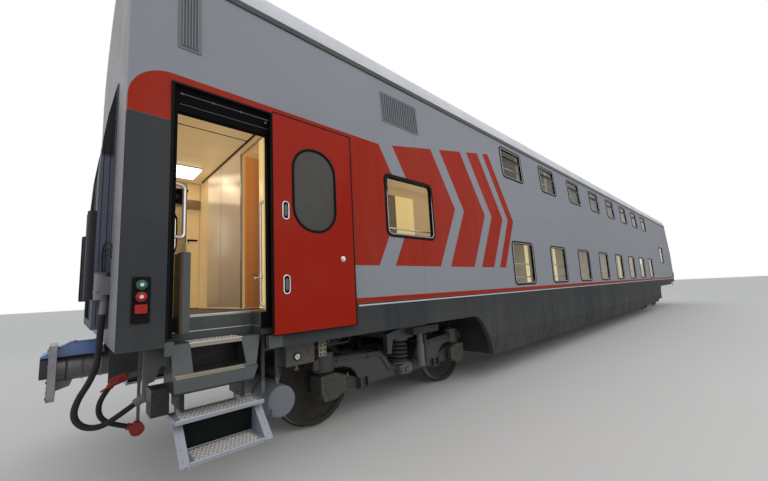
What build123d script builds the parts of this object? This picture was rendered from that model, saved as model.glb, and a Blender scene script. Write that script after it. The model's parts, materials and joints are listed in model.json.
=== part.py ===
from build123d import *
from math import atan2, cos, degrees, radians, sin, tan
import os

# Double-deck sleeping coach on two four-wheel bogies, in millimetres.
# X runs along the coach from the boarding end A (-X) to end B (+X), Y across it and Z up.
# The right side (-Y) has its boarding door open. Z is 0 at the lowest point of the flanges.

# Driving dimensions of the body
BODY_LENGTH = 25500
HALF_WIDTH = 1577
GUTTER_HALF_WIDTH = 1497
WALL = 70
ROOF_CORNER = 466
FLANGE = 28


def rail(height):
    """Height above the rail head, raised by the depth of the flanges."""
    return FLANGE + height


CORNER_Z = rail(1200)
SKIRT_Z = rail(1070)
LOW_SKIRT_Z = rail(365)
CREASE_Z = rail(700)
TUCK = 100
KINK_Z = rail(2780)
GUTTER_Z = rail(4400)
CROWN_Z = rail(5250)
FLOOR_Z = rail(1400)
END_CEILING_Z = rail(3450)
LOWER_FLOOR_Z = rail(560)
UPPER_FLOOR_Z = rail(2650)
UPPER_CEILING_Z = rail(4800)
HALF = BODY_LENGTH / 2
INNER = HALF_WIDTH - WALL

# Double-deck middle, between the two well ends
BAY = 1830
BAYS = 8
DECK_HALF = BAY * BAYS / 2
WELL_HALF = HALF - 5120
WELL_WALL = 80
PAN_Z = LOW_SKIRT_Z + 70
FLOOR_PLATE = 120
DECK_Z = rail(1200)

# Bogies and wheels
BOGIE_HALF_SPACING = 9500
WHEELBASE = 2500
WHEEL_R = 478.5
WHEEL_BACK = 720
RIM = 130
AXLE_R = 85
AXLE_Z = rail(WHEEL_R)
FRAME_Y = 1000
BEARER_Z = rail(1000)

# Jacking pads
JACK_STATIONS = (2250, 4170)
JACK_Z = rail(1085)

# Couplers
COUPLER_Z = rail(965)
COUPLER_PIVOT = 450
COUPLER_FACE = -355

# Boarding doors, measured from end A
DOOR_NOTCH = (285, 1215)
DOOR_CLEAR = (340, 1105)
DOOR_TOP = rail(3315)
DOOR_CLEAR_TOP = rail(3090)
DOOR_SILL = rail(1255)
DOOR_PANEL_END = -BODY_LENGTH / 2 + 2105
LEAF = (925, 2095, 45)
LEAF_Z = rail(1190)
LEAF_TRAVEL = 825
LEAF_OUT = 60
STAIR_X = (340, 1040)
STAIR_DEPTH = 230


def station(x):
    """X of a place given as its distance from end A."""
    return x - HALF


def block(x, y, z):
    """Box between two values on each axis."""
    middle = [(a + b) / 2 for a, b in (x, y, z)]
    return Pos(*middle) * Box(*[abs(b - a) for a, b in (x, y, z)])


def along_x(points, x0, x1):
    """Prism along X over a polygon of (y, z) points."""
    face = Plane.YZ.offset(x0) * make_face(Polyline(*points, close=True))
    return extrude(face, amount=x1 - x0, dir=(1, 0, 0))


def along_y(outline, y0, y1):
    """Prism along Y over a sketch, or a polygon of (x, z) points."""
    sketch = make_face(Polyline(*outline, close=True)) if isinstance(outline, list) else outline
    return extrude(Plane.XZ.offset(-y0) * sketch, amount=y1 - y0, dir=(0, 1, 0))


def rod(start, end, radius):
    """Round bar between two points."""
    a, b = Vector(*start), Vector(*end)
    return Plane(origin=a, z_dir=b - a) * Cylinder(radius, (b - a).length, align=(Align.CENTER, Align.CENTER, Align.MIN))


def tube_path(points, radii, radius):
    """Round bar along straight runs joined by tangent arcs."""
    path = FilletPolyline(*points, radius=radii)
    return sweep(Plane(origin=path @ 0, z_dir=path % 0) * Circle(radius), path=path)


def mirror_y(shape):
    """The same shape on the other side of the coach."""
    return mirror(shape, about=Plane.XZ)


def mirror_x(shape):
    """The same shape at the other end of the coach."""
    return mirror(shape, about=Plane.YZ)


def together(shapes):
    """One compound of separate solids."""
    return Compound(children=[s for shape in shapes for s in shape.solids()])


# Body shell


def half_width(z):
    """Outer half width of the side wall at a height."""
    if z <= KINK_Z:
        return HALF_WIDTH
    return HALF_WIDTH - (z - KINK_Z) / (GUTTER_Z - KINK_Z) * (HALF_WIDTH - GUTTER_HALF_WIDTH)


LEAN = degrees(atan2(HALF_WIDTH - GUTTER_HALF_WIDTH, GUTTER_Z - KINK_Z))


def wall_plane(side, x, z):
    """Plane on the outside of a side wall, its normal outwards and its y up the wall."""
    lean = radians(LEAN) if z > KINK_Z else 0
    return Plane(origin=(x, side * half_width(z), z), x_dir=(-side, 0, 0), z_dir=(0, side * cos(lean), sin(lean)))


# Windows: middle x, middle z, width, height, corner radius, and whether it has a vent pane
MIDDLE_WINDOW = (station(3095), rail(2605), 950, 810, 90, False)
WINDOW_ROWS = ((rail(1925), 920, 830, 100, False), (rail(3935), 900, 640, 90, True))


def windows():
    """Every window of one side."""
    rows = [MIDDLE_WINDOW, (-MIDDLE_WINDOW[0], *MIDDLE_WINDOW[1:])]
    for z, width, height, radius, vent in WINDOW_ROWS:
        rows += [((i - (BAYS - 1) / 2) * BAY, z, width, height, radius, vent) for i in range(BAYS)]
    return rows


def end_outline():
    """Area under the side wall at end A, from the corner to the start of the low skirt."""
    low = LOW_SKIRT_Z - 50
    top = Polyline((station(-50), low), (station(-50), CORNER_Z), (station(1215), CORNER_Z), (station(1215), SKIRT_Z),
                   (station(4365), SKIRT_Z))
    curve = FilletPolyline((station(4365), SKIRT_Z), (station(4563), SKIRT_Z), (station(5054), LOW_SKIRT_Z),
                           (station(5200), LOW_SKIRT_Z), radius=[360, 180])
    close = Polyline((station(5200), LOW_SKIRT_Z), (station(5200), low), (station(-50), low))
    return make_face(Curve() + [top, curve, close])


def side_wall(side):
    """Door panel and long panel of one side wall, the windows, boarding door and bogie spaces cut out."""
    outside = [(HALF_WIDTH - TUCK, LOW_SKIRT_Z), (HALF_WIDTH, CREASE_Z), (HALF_WIDTH, KINK_Z),
               (GUTTER_HALF_WIDTH, GUTTER_Z)]
    section = outside + [(y - WALL, z) for y, z in reversed(outside)]
    wall = along_x([(side * y, z) for y, z in section], -HALF, HALF)
    reach = (side * (HALF_WIDTH - 400), side * (HALF_WIDTH + 50))
    under = along_y(end_outline(), min(reach), max(reach))
    wall -= [under, mirror_x(under)]
    wall -= block([station(x) for x in DOOR_NOTCH], reach, (SKIRT_Z - 100, DOOR_TOP))
    for x, z, width, height, radius, _ in windows():
        hole = wall_plane(side, x, z).offset(20) * RectangleRounded(width, height, radius)
        wall -= extrude(hole, amount=-WALL - 60)
    everything = (-HALF_WIDTH, HALF_WIDTH), (0, CROWN_Z)
    return wall & block((-HALF, DOOR_PANEL_END), *everything), wall & block((DOOR_PANEL_END, HALF), *everything)


def inside(x0, x1):
    """Space between the side walls, up to the gutters."""
    edge = [(INNER - TUCK, LOW_SKIRT_Z), (INNER, CREASE_Z), (INNER, KINK_Z), (GUTTER_HALF_WIDTH - WALL, GUTTER_Z)]
    return along_x(edge + [(-y, z) for y, z in reversed(edge)], x0, x1)


def window_frames():
    """Rubber and aluminium frames of all side windows, with the bar under each vent pane."""
    frames = []
    for side in (-1, 1):
        for x, z, width, height, radius, vent in windows():
            face = RectangleRounded(width, height, radius) - RectangleRounded(width - 90, height - 90, radius - 40)
            if vent:
                face += Pos(0, VENT_BAR) * Rectangle(width - 90, 40)
            frames.append(extrude(wall_plane(side, x, z).offset(6) * face, amount=-52))
    return together(frames)


VENT_BAR = 110


def window_panes():
    """Glass of all side windows."""
    panes = []
    for side in (-1, 1):
        for x, z, width, height, radius, vent in windows():
            face = RectangleRounded(width - 90, height - 90, radius - 40)
            if vent:
                face -= Pos(0, VENT_BAR) * Rectangle(width, 40)
            panes.append(extrude(wall_plane(side, x, z).offset(-12) * face, amount=-20))
    return together(panes)


def roof_edges(inset):
    """Right-to-left arcs of the roof, moved inwards by a distance: corner, crown, corner."""
    corner_y = GUTTER_HALF_WIDTH - ROOF_CORNER
    rise = CROWN_Z - GUTTER_Z
    crown_r = (corner_y**2 + rise**2 - ROOF_CORNER**2) / (2 * (rise - ROOF_CORNER))
    centre_z = CROWN_Z - crown_r
    turn = atan2(corner_y, GUTTER_Z - centre_z)
    crown = crown_r - inset
    corner = ROOF_CORNER - inset
    half = radians(90) - turn
    meet = (crown * sin(turn), centre_z + crown * cos(turn))
    middle = (corner_y + corner * cos(half / 2), GUTTER_Z + corner * sin(half / 2))
    foot = (GUTTER_HALF_WIDTH - inset, GUTTER_Z)

    def left(point):
        return (-point[0], point[1])

    return [ThreePointArc(left(foot), left(middle), left(meet)),
            ThreePointArc(left(meet), (0, centre_z + crown), meet),
            ThreePointArc(meet, middle, foot)]


def roof():
    """Arched roof skin over the whole length."""
    ends = [Line((s * GUTTER_HALF_WIDTH, GUTTER_Z), (s * (GUTTER_HALF_WIDTH - WALL), GUTTER_Z)) for s in (-1, 1)]
    face = make_face(Curve() + [*roof_edges(0), *roof_edges(WALL), *ends])
    return extrude(Plane.YZ.offset(-HALF) * face, amount=BODY_LENGTH, dir=(1, 0, 0))


def gutters():
    """Rain gutter along each top edge of the side walls."""
    low = GUTTER_Z - 50
    section = [(half_width(low), low), (GUTTER_HALF_WIDTH + 20, low), (GUTTER_HALF_WIDTH + 20, GUTTER_Z + 10),
               (GUTTER_HALF_WIDTH, GUTTER_Z)]
    strip = along_x(section, -HALF, HALF)
    return together([strip, mirror_y(strip)])


def end_wall(end):
    """End wall between the side walls, with the gangway doorway."""
    inner_section = make_face(Curve() + [*roof_edges(WALL), Polyline(
        (GUTTER_HALF_WIDTH - WALL, GUTTER_Z), (INNER, KINK_Z), (INNER, CORNER_Z), (-INNER, CORNER_Z),
        (-INNER, KINK_Z), (WALL - GUTTER_HALF_WIDTH, GUTTER_Z))])
    wall = extrude(Plane.YZ.offset(-HALF) * inner_section, amount=WALL, dir=(1, 0, 0))
    wall -= block((-HALF - 10, -HALF + WALL + 10), (-GANGWAY_CLEAR, GANGWAY_CLEAR), (FLOOR_Z, GANGWAY_TOP))
    return wall if end < 0 else mirror_x(wall)


GANGWAY_CLEAR = 450
GANGWAY_TOP = rail(3400)
GANGWAY_HALF = 800
GANGWAY_OUT = 165


# Side view of the gangway portal: distance out from the end wall, and height
PORTAL = ((0, rail(1330)), (105, rail(1330)), (105, rail(2700)), (90, rail(3010)), (65, rail(3235)), (10, rail(3550)),
          (0, rail(3550)))
ROLL_R = 62
ROLL_CORNER = 44
ROLL_FOOT = rail(1580)
ROLL_TOP = rail(2340)


def gangway(end):
    """Gangway portal that leans back at the top, with an upright rubber roll on each side."""
    portal = along_y([(-HALF - out, z) for out, z in PORTAL], -GANGWAY_HALF, GANGWAY_HALF)
    clear = GANGWAY_CLEAR + 10
    portal -= block((-HALF - 300, -HALF + 1), (-clear, clear), (FLOOR_Z, GANGWAY_TOP))
    centre_x = -HALF + ROLL_R - GANGWAY_OUT
    for side in (-1, 1):
        foot = Plane((centre_x, side * (GANGWAY_HALF - ROLL_R), ROLL_FOOT))
        portal += extrude(foot * RectangleRounded(2 * ROLL_R, 2 * ROLL_R, ROLL_CORNER), amount=ROLL_TOP - ROLL_FOOT)
    return portal if end < 0 else mirror_x(portal)


def end_door(end):
    """Sliding door behind the gangway doorway."""
    x = (-HALF + WALL + 10, -HALF + WALL + 50)
    door = block(x, (-GANGWAY_CLEAR - 30, GANGWAY_CLEAR + 30), (FLOOR_Z + 8, GANGWAY_TOP + 30))
    window = Plane.YZ.offset(-HALF) * Pos(0, rail(2650)) * RectangleRounded(420, 700, 80)
    door -= extrude(window, amount=200, dir=(1, 0, 0))
    return door if end < 0 else mirror_x(door)


# Underframe


def end_frame(end):
    """Frame over a bogie: deck plate, centre sill with the coupler pocket, bolster and pivot."""
    well = -WELL_HALF
    pivot = -BOGIE_HALF_SPACING
    deck_top = FLOOR_Z - FLOOR_PLATE
    deck = block((-HALF + WALL, well), (-INNER, INNER), (DECK_Z, deck_top))
    deck -= stairwells()
    head = block((-HALF + WALL, -HALF + 250), (-1200, 1200), (rail(1170), deck_top - 80))
    sill = [(-HALF + 60, DECK_Z), (-HALF + 60, rail(800)), (station(900), rail(800)), (station(1300), rail(1050)),
            (pivot, rail(1050)), (pivot, DECK_Z)]
    cheeks = [along_y(sill, s * 340 - 20, s * 340 + 20) for s in (-1, 1)]
    rear = block((station(COUPLER_PIVOT + 120), station(COUPLER_PIVOT + 170)), (-320, 320), (rail(800), DECK_Z))
    bolster = block((pivot - 260, pivot + 260), (-1350, 1350), (BEARER_Z + 20, DECK_Z))
    pin = Pos(pivot, 0, rail(860)) * Cylinder(70, 180, align=(Align.CENTER, Align.CENTER, Align.MIN))
    bearers = [Pos(pivot, s * FRAME_Y, BEARER_Z - 4) * Cylinder(110, 24, align=(Align.CENTER, Align.CENTER, Align.MIN))
               for s in (-1, 1)]
    pads = [block((station(x) - 60, station(x) + 60), (s * 1380, s * 1500), (JACK_Z, DECK_Z))
            for x in JACK_STATIONS for s in (-1, 1)]
    gusset = [(station(x), rail(z)) for x, z in ((185, 1200), (335, 1200), (335, 1058), (277, 1062), (240, 962),
                                                 (190, 950))]
    gussets = [along_y(gusset, s * 1494 - 6, s * 1494 + 6) for s in (-1, 1)]
    frame = deck + [head, *cheeks, rear, bolster, pin, *bearers, *pads, *gussets]
    return frame if end < 0 else mirror_x(frame)


def well_frame():
    """Dropped pan between the bogies, with the upright wall at each end."""
    top = FLOOR_Z - FLOOR_PLATE
    outline = [(-WELL_HALF, top), (-WELL_HALF, LOW_SKIRT_Z + 10), (WELL_HALF, LOW_SKIRT_Z + 10), (WELL_HALF, top),
               (WELL_HALF - WELL_WALL, top), (WELL_HALF - WELL_WALL, PAN_Z), (WELL_WALL - WELL_HALF, PAN_Z),
               (WELL_WALL - WELL_HALF, top)]
    return along_y(outline, -INNER, INNER) & inside(-HALF, HALF)


def stairwells():
    """Space of the two stairwells at end A."""
    well = block([station(x) for x in STAIR_X], (-INNER - 1, -INNER + STAIR_DEPTH), (SKIRT_Z, FLOOR_Z + 1))
    return [well, mirror_y(well)]


def end_floors():
    """Floors over the bogies, with the two stairwells at end A."""
    floor = block((-HALF + WALL, -DECK_HALF), (-INNER, INNER), (FLOOR_Z - FLOOR_PLATE, FLOOR_Z))
    return together([floor - stairwells(), mirror_x(floor)])


def deck_floors():
    """Floor of the lower deck in the well, and of the upper deck."""
    reach = WELL_HALF - WELL_WALL
    lower = block((-reach, reach), (-INNER, INNER), (PAN_Z, LOWER_FLOOR_Z)) & inside(-HALF, HALF)
    upper = block((-DECK_HALF, DECK_HALF), (-INNER, INNER), (UPPER_FLOOR_Z - 100, UPPER_FLOOR_Z))
    return together([lower, upper])


def ceilings():
    """Flat ceilings at both ends and over the upper deck."""
    high = block((-DECK_HALF, DECK_HALF), (-1080, 1080), (UPPER_CEILING_Z, UPPER_CEILING_Z + 30))
    width = half_width(END_CEILING_Z + 30) - WALL
    end = block((-HALF + WALL, -DECK_HALF - 40), (-width, width), (END_CEILING_Z, END_CEILING_Z + 30))
    return together([high, end, mirror_x(end)])


# Inside walls

CORRIDOR_Y = -720
PARTITION = 40
UPPER_SECTION = [(CORRIDOR_Y, UPPER_FLOOR_Z), (INNER, UPPER_FLOOR_Z), (INNER, KINK_Z),
                 (GUTTER_HALF_WIDTH - WALL, GUTTER_Z), (1355, rail(4600)), (1080, UPPER_CEILING_Z),
                 (CORRIDOR_Y, UPPER_CEILING_Z)]


def cross_walls():
    """Walls between the compartments of both decks."""
    walls = []
    for i in range(BAYS + 1):
        x = i * BAY - DECK_HALF
        edge = PARTITION if i == 0 else -PARTITION if i == BAYS else 0
        x0, x1 = sorted((x + edge, x)) if edge else (x - PARTITION / 2, x + PARTITION / 2)
        lower = block((x0, x1), (CORRIDOR_Y, INNER), (LOWER_FLOOR_Z, UPPER_FLOOR_Z - 100))
        walls.append(lower & inside(-HALF, HALF))
        walls.append(along_x(UPPER_SECTION, x0, x1))
    return together(walls)


def corridor_walls():
    """Corridor wall of each deck, with the closed compartment doors in it."""
    walls = []
    for low, high in ((LOWER_FLOOR_Z, UPPER_FLOOR_Z - 100), (UPPER_FLOOR_Z, UPPER_CEILING_Z)):
        wall = block((-DECK_HALF, DECK_HALF), (CORRIDOR_Y - 30, CORRIDOR_Y), (low, high))
        for i in range(BAYS):
            x = (i - (BAYS - 1) / 2) * BAY
            wall -= block((x - 320, x + 320), (CORRIDOR_Y - 40, CORRIDOR_Y - 22), (low + 10, low + 1930))
        walls.append(wall)
    return together(walls)


BERTH = (600, 1900, 140)


def compartment_fittings():
    """Four berths and a table in each compartment."""
    pieces = []
    for low in (LOWER_FLOOR_Z, UPPER_FLOOR_Z):
        window_side = half_width(low + 1650) - WALL - 20
        for i in range(BAYS):
            middle = (i - (BAYS - 1) / 2) * BAY
            for side in (-1, 1):
                wall = middle + side * (BAY / 2 - PARTITION - 5)
                for height in (320, 1480):
                    pieces.append(block(sorted((wall, wall - side * BERTH[0])), (window_side - BERTH[1], window_side),
                                        (low + height, low + height + BERTH[2])))
            pieces.append(block((middle - 240, middle + 240), (window_side - 420, window_side), (low + 760, low + 785)))
    return together(pieces)


BULKHEAD_X = 1300
BULKHEAD_DOOR = (-1050, -345)


def end_partitions():
    """Vestibule bulkheads, service corridor walls and the upper corridor ends."""
    top = END_CEILING_Z
    x = station(BULKHEAD_X)
    bulkhead = block((x, x + PARTITION), (-INNER, INNER), (FLOOR_Z, top))
    bulkhead -= block((x - 10, x + 60), BULKHEAD_DOOR, (FLOOR_Z - 1, rail(3330)))
    width = half_width(top) - WALL
    bulkhead &= along_x([(-INNER, FLOOR_Z), (INNER, FLOOR_Z), (INNER, KINK_Z), (width, top), (-width, top),
                         (-INNER, KINK_Z)], x - 10, x + 60)
    service = block((x + PARTITION + 60, -DECK_HALF - 10), (-260, -220), (FLOOR_Z, top))
    return together([bulkhead, mirror_x(bulkhead), service, mirror_x(service)])


def inner_door():
    """Vestibule's swing door, open into the corridor."""
    x = station(BULKHEAD_X) + PARTITION + 8
    return block((x, x + 715), (BULKHEAD_DOOR[1] + 4, BULKHEAD_DOOR[1] + 44), (FLOOR_Z + 8, rail(3340)))


# Boarding doors, steps and flaps


def door_surrounds():
    """Black inverted-U door portals set into the side walls."""
    portal = block([station(x) for x in DOOR_NOTCH], (-INNER - 22, -INNER + 40), (DOOR_SILL, DOOR_TOP))
    portal -= block([station(x) for x in DOOR_CLEAR], (-INNER - 30, -INNER + 50), (FLOOR_Z, DOOR_CLEAR_TOP))
    portal -= block([station(x) for x in STAIR_X], (-INNER - 30, -INNER + 50), (DOOR_SILL - 1, FLOOR_Z))
    floor_gap = block((station(0), station(2000)), (-INNER, -INNER + 60), (DOOR_SILL - 1, FLOOR_Z))
    portal -= floor_gap
    return together([portal, mirror_y(portal)])


def door_leaf(side):
    """Boarding door leaf with its oval window: slid open on the right, closed on the left."""
    width, height, thick = LEAF
    start = DOOR_NOTCH[0] + 2 + (LEAF_TRAVEL if side < 0 else 0)
    middle = station(start + width / 2)
    out = HALF_WIDTH + (LEAF_OUT if side < 0 else 0)
    y = (side * (out - thick), side * out)
    z0 = LEAF_Z if side < 0 else DOOR_TOP - height - 5
    leaf = block((middle - width / 2, middle + width / 2), y, (z0, z0 + height))
    hole = Plane.XZ * Pos(middle - 12, z0 + 1390) * RectangleRounded(500, 860, 240)
    leaf -= extrude(hole, amount=4000, both=True)
    for z in (445, 1145):
        grip = Plane.XZ.offset(-side * out) * Pos(middle - 340, z0 + z) * RectangleRounded(64, 170, 30)
        leaf -= extrude(grip, amount=15, both=True)
    return leaf


def door_panes():
    """Oval glass of both boarding doors and the glass of the end doors."""
    panes = []
    for side in (-1, 1):
        start = DOOR_NOTCH[0] + 2 + (LEAF_TRAVEL if side < 0 else 0)
        middle = station(start + LEAF[0] / 2)
        out = HALF_WIDTH + (LEAF_OUT if side < 0 else 0)
        z0 = LEAF_Z if side < 0 else DOOR_TOP - LEAF[1] - 5
        face = Pos(middle - 12, z0 + 1390) * RectangleRounded(500, 860, 240)
        y = sorted((side * (out - 30), side * (out - 8)))
        panes.append(along_y(face, *y))
    return together(panes)


STEP_X = (340, 1045)
# Opening for the foot in the front plate of the step box
FOOT_HOLE = ((476, 877), (rail(990), rail(1165)))
GUIDE_X = (410, 860)


def entry_steps():
    """Fixed step boxes below the doorways: tread, front plate with a foot hole, ledge, slide guides and drive case."""
    x0, x1 = (station(x) for x in STEP_X)
    inner = INNER - STAIR_DEPTH
    section = [(-inner, DECK_Z), (-1470, DECK_Z), (-1480, rail(1185)), (-1600, rail(975)), (-1640, rail(970)),
               (-1645, rail(860)), (-inner, rail(860))]
    front = [(x0, DECK_Z), (x1, DECK_Z), (station(910), rail(850)), (x0, rail(850))]
    box = along_x(section, x0, x1) & along_y(front, -1700, -inner)
    box -= block([station(x) for x in FOOT_HOLE[0]], (-1700, -1300), FOOT_HOLE[1])
    box -= block((x0 + 12, station(898)), (-1630, 15 - 1300), (rail(840), rail(940)))
    for x in GUIDE_X:
        box += block((station(x) - 15, station(x) + 15), (-1560, -inner), (rail(728), rail(950)))
    edge = (-HALF_WIDTH, -INNER - 1)
    box += block((station(228), x0 + 5), (-1470, -inner), (rail(700), rail(895)))
    corner = block((station(DOOR_NOTCH[0]), x0 + 5), edge, (rail(1135), LEAF_Z - 5))
    corner += block((station(1085), station(DOOR_NOTCH[1])), edge, (rail(1075), LEAF_Z - 5))
    catch = block((station(DOOR_NOTCH[0]), x0 + 5), edge, (LEAF_Z - 6, rail(1235)))
    return together([box + [corner, catch], mirror_y(box + corner)])


SLIDE_X = (352, 1010)
SLIDE_FLANGE = 50
# Treads of the sliding unit: height, outer edge, inner edge
SLIDE_TREADS = ((rail(680), 1633, 1375), (rail(435), 1790, 1520))


def slide_step(side):
    """Silver retractable step unit: two treads between slanted side plates with front flanges."""
    x0, x1 = (station(x) for x in SLIDE_X)
    cheek = [(-1380, rail(655)), (-1542, rail(655)), (-1800, rail(420)), (-1800, rail(398)), (-1500, rail(398)),
             (-1380, rail(580))]
    flange = [(-1542, rail(655)), (-1800, rail(420)), (-1793, rail(412)), (-1535, rail(647))]
    unit = along_x(cheek, x0 + SLIDE_FLANGE, x0 + SLIDE_FLANGE + 12)
    unit += along_x(cheek, x1 - SLIDE_FLANGE - 12, x1 - SLIDE_FLANGE)
    unit += [along_x(flange, x0, x0 + SLIDE_FLANGE), along_x(flange, x1 - SLIDE_FLANGE, x1)]
    for inset, (z, outer, inner) in zip((0, SLIDE_FLANGE), SLIDE_TREADS):
        unit += block((x0 + inset, x1 - inset), (-outer, -inner), (z - 30, z))
    for x in GUIDE_X:
        unit += block((station(x) - 15, station(x) + 15), (-1450, -1380), (SLIDE_TREADS[0][0] - 5, rail(722)))
    return unit if side < 0 else mirror_y(unit)


# Floor flap: reach along the coach when lowered, thickness and hinge pin
FLAP_X = (392, 1030)
FLAP = 72
FLAP_PIN = (station(451), rail(1341))


def floor_flap(side):
    """Flap over a stairwell: raised on the right, lowered on the left."""
    y = sorted((side * (INNER - 7), side * (INNER - STAIR_DEPTH + 8)))
    flap = block([station(x) for x in FLAP_X], y, (FLOOR_Z - FLAP, FLOOR_Z))
    if side > 0:
        return flap
    pin = Pos(FLAP_PIN[0], 0, FLAP_PIN[1])
    return pin * Rot(0, -90, 0) * pin.inverse() * flap


def handrails():
    """Grab rails inside both doorways: a short bow by the corner post and a long one by the leaf."""
    foot = -INNER + 40
    bow = [(325, foot + 15), (430, -1400)]
    bar = [(1135, foot + 15), (1087, -1400)]
    rails = []
    for (outer, inner), low, high in ((bow, rail(2050), rail(2495)), (bar, rail(1450), rail(2450))):
        points = [(station(x), y, z) for (x, y), z in ((outer, low), (inner, low), (inner, high), (outer, high))]
        grip = tube_path(points, [40, 40], 14)
        left = points[0][0]
        pads = [block((left - 20, left + 12), (foot, foot + 22), (z - 18, z + 18)) for z in (low, high)]
        rails.append(grip + pads)
    rails += [mirror_y(r) for r in rails]
    return together(rails)


# Ends, lamps, vents and underfloor gear


def lamp_panels():
    """Tail lamp panels at the four corners, two round lamps above a square one."""
    panels = []
    for side in (-1, 1):
        plane = Plane(origin=(station(130), side * HALF_WIDTH, rail(1555)), x_dir=(-side, 0, 0), z_dir=(0, side, 0))
        panel = extrude(plane * RectangleRounded(112, 330, 12), amount=10)
        for z in (113, 28):
            panel += extrude(plane * Pos(0, z) * Circle(38), amount=26)
        panel += extrude(plane * Pos(0, -62) * Rectangle(72, 78), amount=24)
        panels += [panel, mirror_x(panel)]
    return together(panels)


# Vent grilles from end A: middle x, middle z, width, height, number of slats
VENTS = ((417, rail(3960), 180, 620, 6), (3050, rail(3962), 720, 436, 18))


def vent_grilles():
    """Upright-slatted air vents high on both sides at end A."""
    grilles = []
    for side in (-1, 1):
        for x, z, width, height, slats in VENTS:
            plane = wall_plane(side, station(x), z)
            grille = extrude(plane * Rectangle(width, height), amount=8)
            step = (width - 40) / slats
            for i in range(slats):
                across = (i - (slats - 1) / 2) * step
                grille += extrude(plane * Pos(across, 0) * Rectangle(step * 0.45, height - 50), amount=22)
            grilles.append(grille)
    return together(grilles)


def air_tanks():
    """Transverse air reservoirs ahead of the bogie at end A."""
    tank = rod((station(1262), -1450, rail(560)), (station(1262), -560, rail(560)), 142)
    tank = fillet(tank.edges(), 25)
    for x in (1145, 1284):
        tank += block((station(x) - 12, station(x) + 12), (-1315, -1285), (rail(600), DECK_Z))
    tank += block((station(1145), station(1284)), (-1315, -1285), (rail(1020), rail(1050)))
    return together([tank, mirror_y(tank)])


def brake_cases():
    """Brake equipment cases over the bogie at end A, the first with a round gauge."""
    case = block((station(1325), station(1640)), (-1420, -1180), (rail(850), rail(1068)))
    case += rod((station(1440), -1432, rail(934)), (station(1440), -1400, rail(934)), 34)
    hanger = block((station(1400), station(1560)), (-1400, -1200), (rail(1068), DECK_Z))
    small = block((station(1700), station(1800)), (-1400, -1250), (rail(880), rail(1045)))
    small += block((station(1730), station(1770)), (-1380, -1270), (rail(1045), DECK_Z))
    return together([case + hanger, small])


# Hoses at end A: route points from end A, and diameters
JUMPER_D = 46
JUMPER_HOSE = [(-36, -868, 1455), (-48, -868, 1265), (-50, -868, 1075), (-92, -869, 932), (-164, -870, 806),
               (-186, -870, 683), (-121, -870, 588), (-10, -869, 562), (96, -867, 616), (205, -865, 684)]
BRAKE_D = 42
BRAKE_HOSE = [(50, -620, 812), (5, -620, 745), (-18, -620, 668), (-8, -620, 592), (36, -620, 532), (104, -619, 490),
              (188, -618, 452)]


def bend_radii(points):
    """Radius of each arc: 0.45 of its shorter run over the tangent of half its turn."""
    radii = []
    for a, b, c in zip(points, points[1:], points[2:]):
        into, out = Vector(*b) - Vector(*a), Vector(*c) - Vector(*b)
        turn = radians(into.get_angle(out))
        radii.append(0.45 * min(into.length, out.length) / tan(turn / 2))
    return radii


def hose(route, diameter):
    """Hose along a route given from end A."""
    points = [(station(x), y, rail(z)) for x, y, z in route]
    radii = bend_radii(points)
    print("arc radii", [round(r) for r in radii], "of a hose", diameter, "across")
    return tube_path(points, radii, diameter / 2)


def towards(route, reach):
    """Point beyond a route's end, along its last run."""
    before, last = (Vector(station(x), y, rail(z)) for x, y, z in route[-2:])
    return last + (last - before).normalized() * reach


def behind(route, reach):
    """Point before a route's start, along its first run."""
    return towards(route[1::-1], reach)


def end_sockets():
    """Lighting and heating jumper socket on each end wall, with the ferrule that its cable leaves by."""
    x, y, z = JUMPER_HOSE[0]
    neck = behind(JUMPER_HOSE, 130)
    socket = rod((station(x), y, rail(z)), tuple(neck), 27)
    socket += rod((station(-54), y, neck.Z - 10), (station(-54), y, neck.Z + 200), 50)
    socket += block((station(-50), station(0)), (y - 55, y + 55), (neck.Z + 30, neck.Z + 180))
    end = towards(JUMPER_HOSE, 0)
    holder = rod(tuple(end), tuple(towards(JUMPER_HOSE, 90)), 36)
    holder += block((station(254), station(300)), (-885, -845), (end.Z, DECK_Z))
    return together([socket, holder, mirror_x(socket), mirror_x(holder)])


def brake_cocks():
    """End cock with its lever, its pipe and the hook that holds a hose head, at each end."""
    x, y, z = BRAKE_HOSE[0]
    nipple = behind(BRAKE_HOSE, 55)
    cock = rod((station(x), y, rail(z)), tuple(nipple), 27)
    cock += rod((station(x + 4), y, rail(z + 36)), (station(170), y, rail(885)), 38)
    cock += rod((station(165), y, rail(883)), (station(420), y, rail(925)), 22)
    cock += rod((station(112), y - 46, rail(868)), (station(112), y, rail(868)), 16)
    cock += rod((station(112), y - 44, rail(868)), (station(-12), y - 44, rail(796)), 8)
    cock += block((station(330), station(370)), (y - 25, y + 25), (rail(900), DECK_Z))
    hook = block((station(254), station(280)), (y - 4, y + 8), (rail(482), DECK_Z))
    return together([cock, hook, mirror_x(cock), mirror_x(hook)])


def brake_hose_head():
    """Coupling head at the end of the brake hose, hung by its lug on the hook."""
    x, y, z = BRAKE_HOSE[-1]
    end = Vector(station(x), y, rail(z))
    head = rod(tuple(end), tuple(towards(BRAKE_HOSE, 60)), 29)
    head += rod((station(261), y - 38, rail(412)), (station(261), y + 38, rail(412)), 56)
    head += block((station(240), station(282)), (y - 10, y + 10), (rail(455), rail(482)))
    return head


# Couplers


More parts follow.
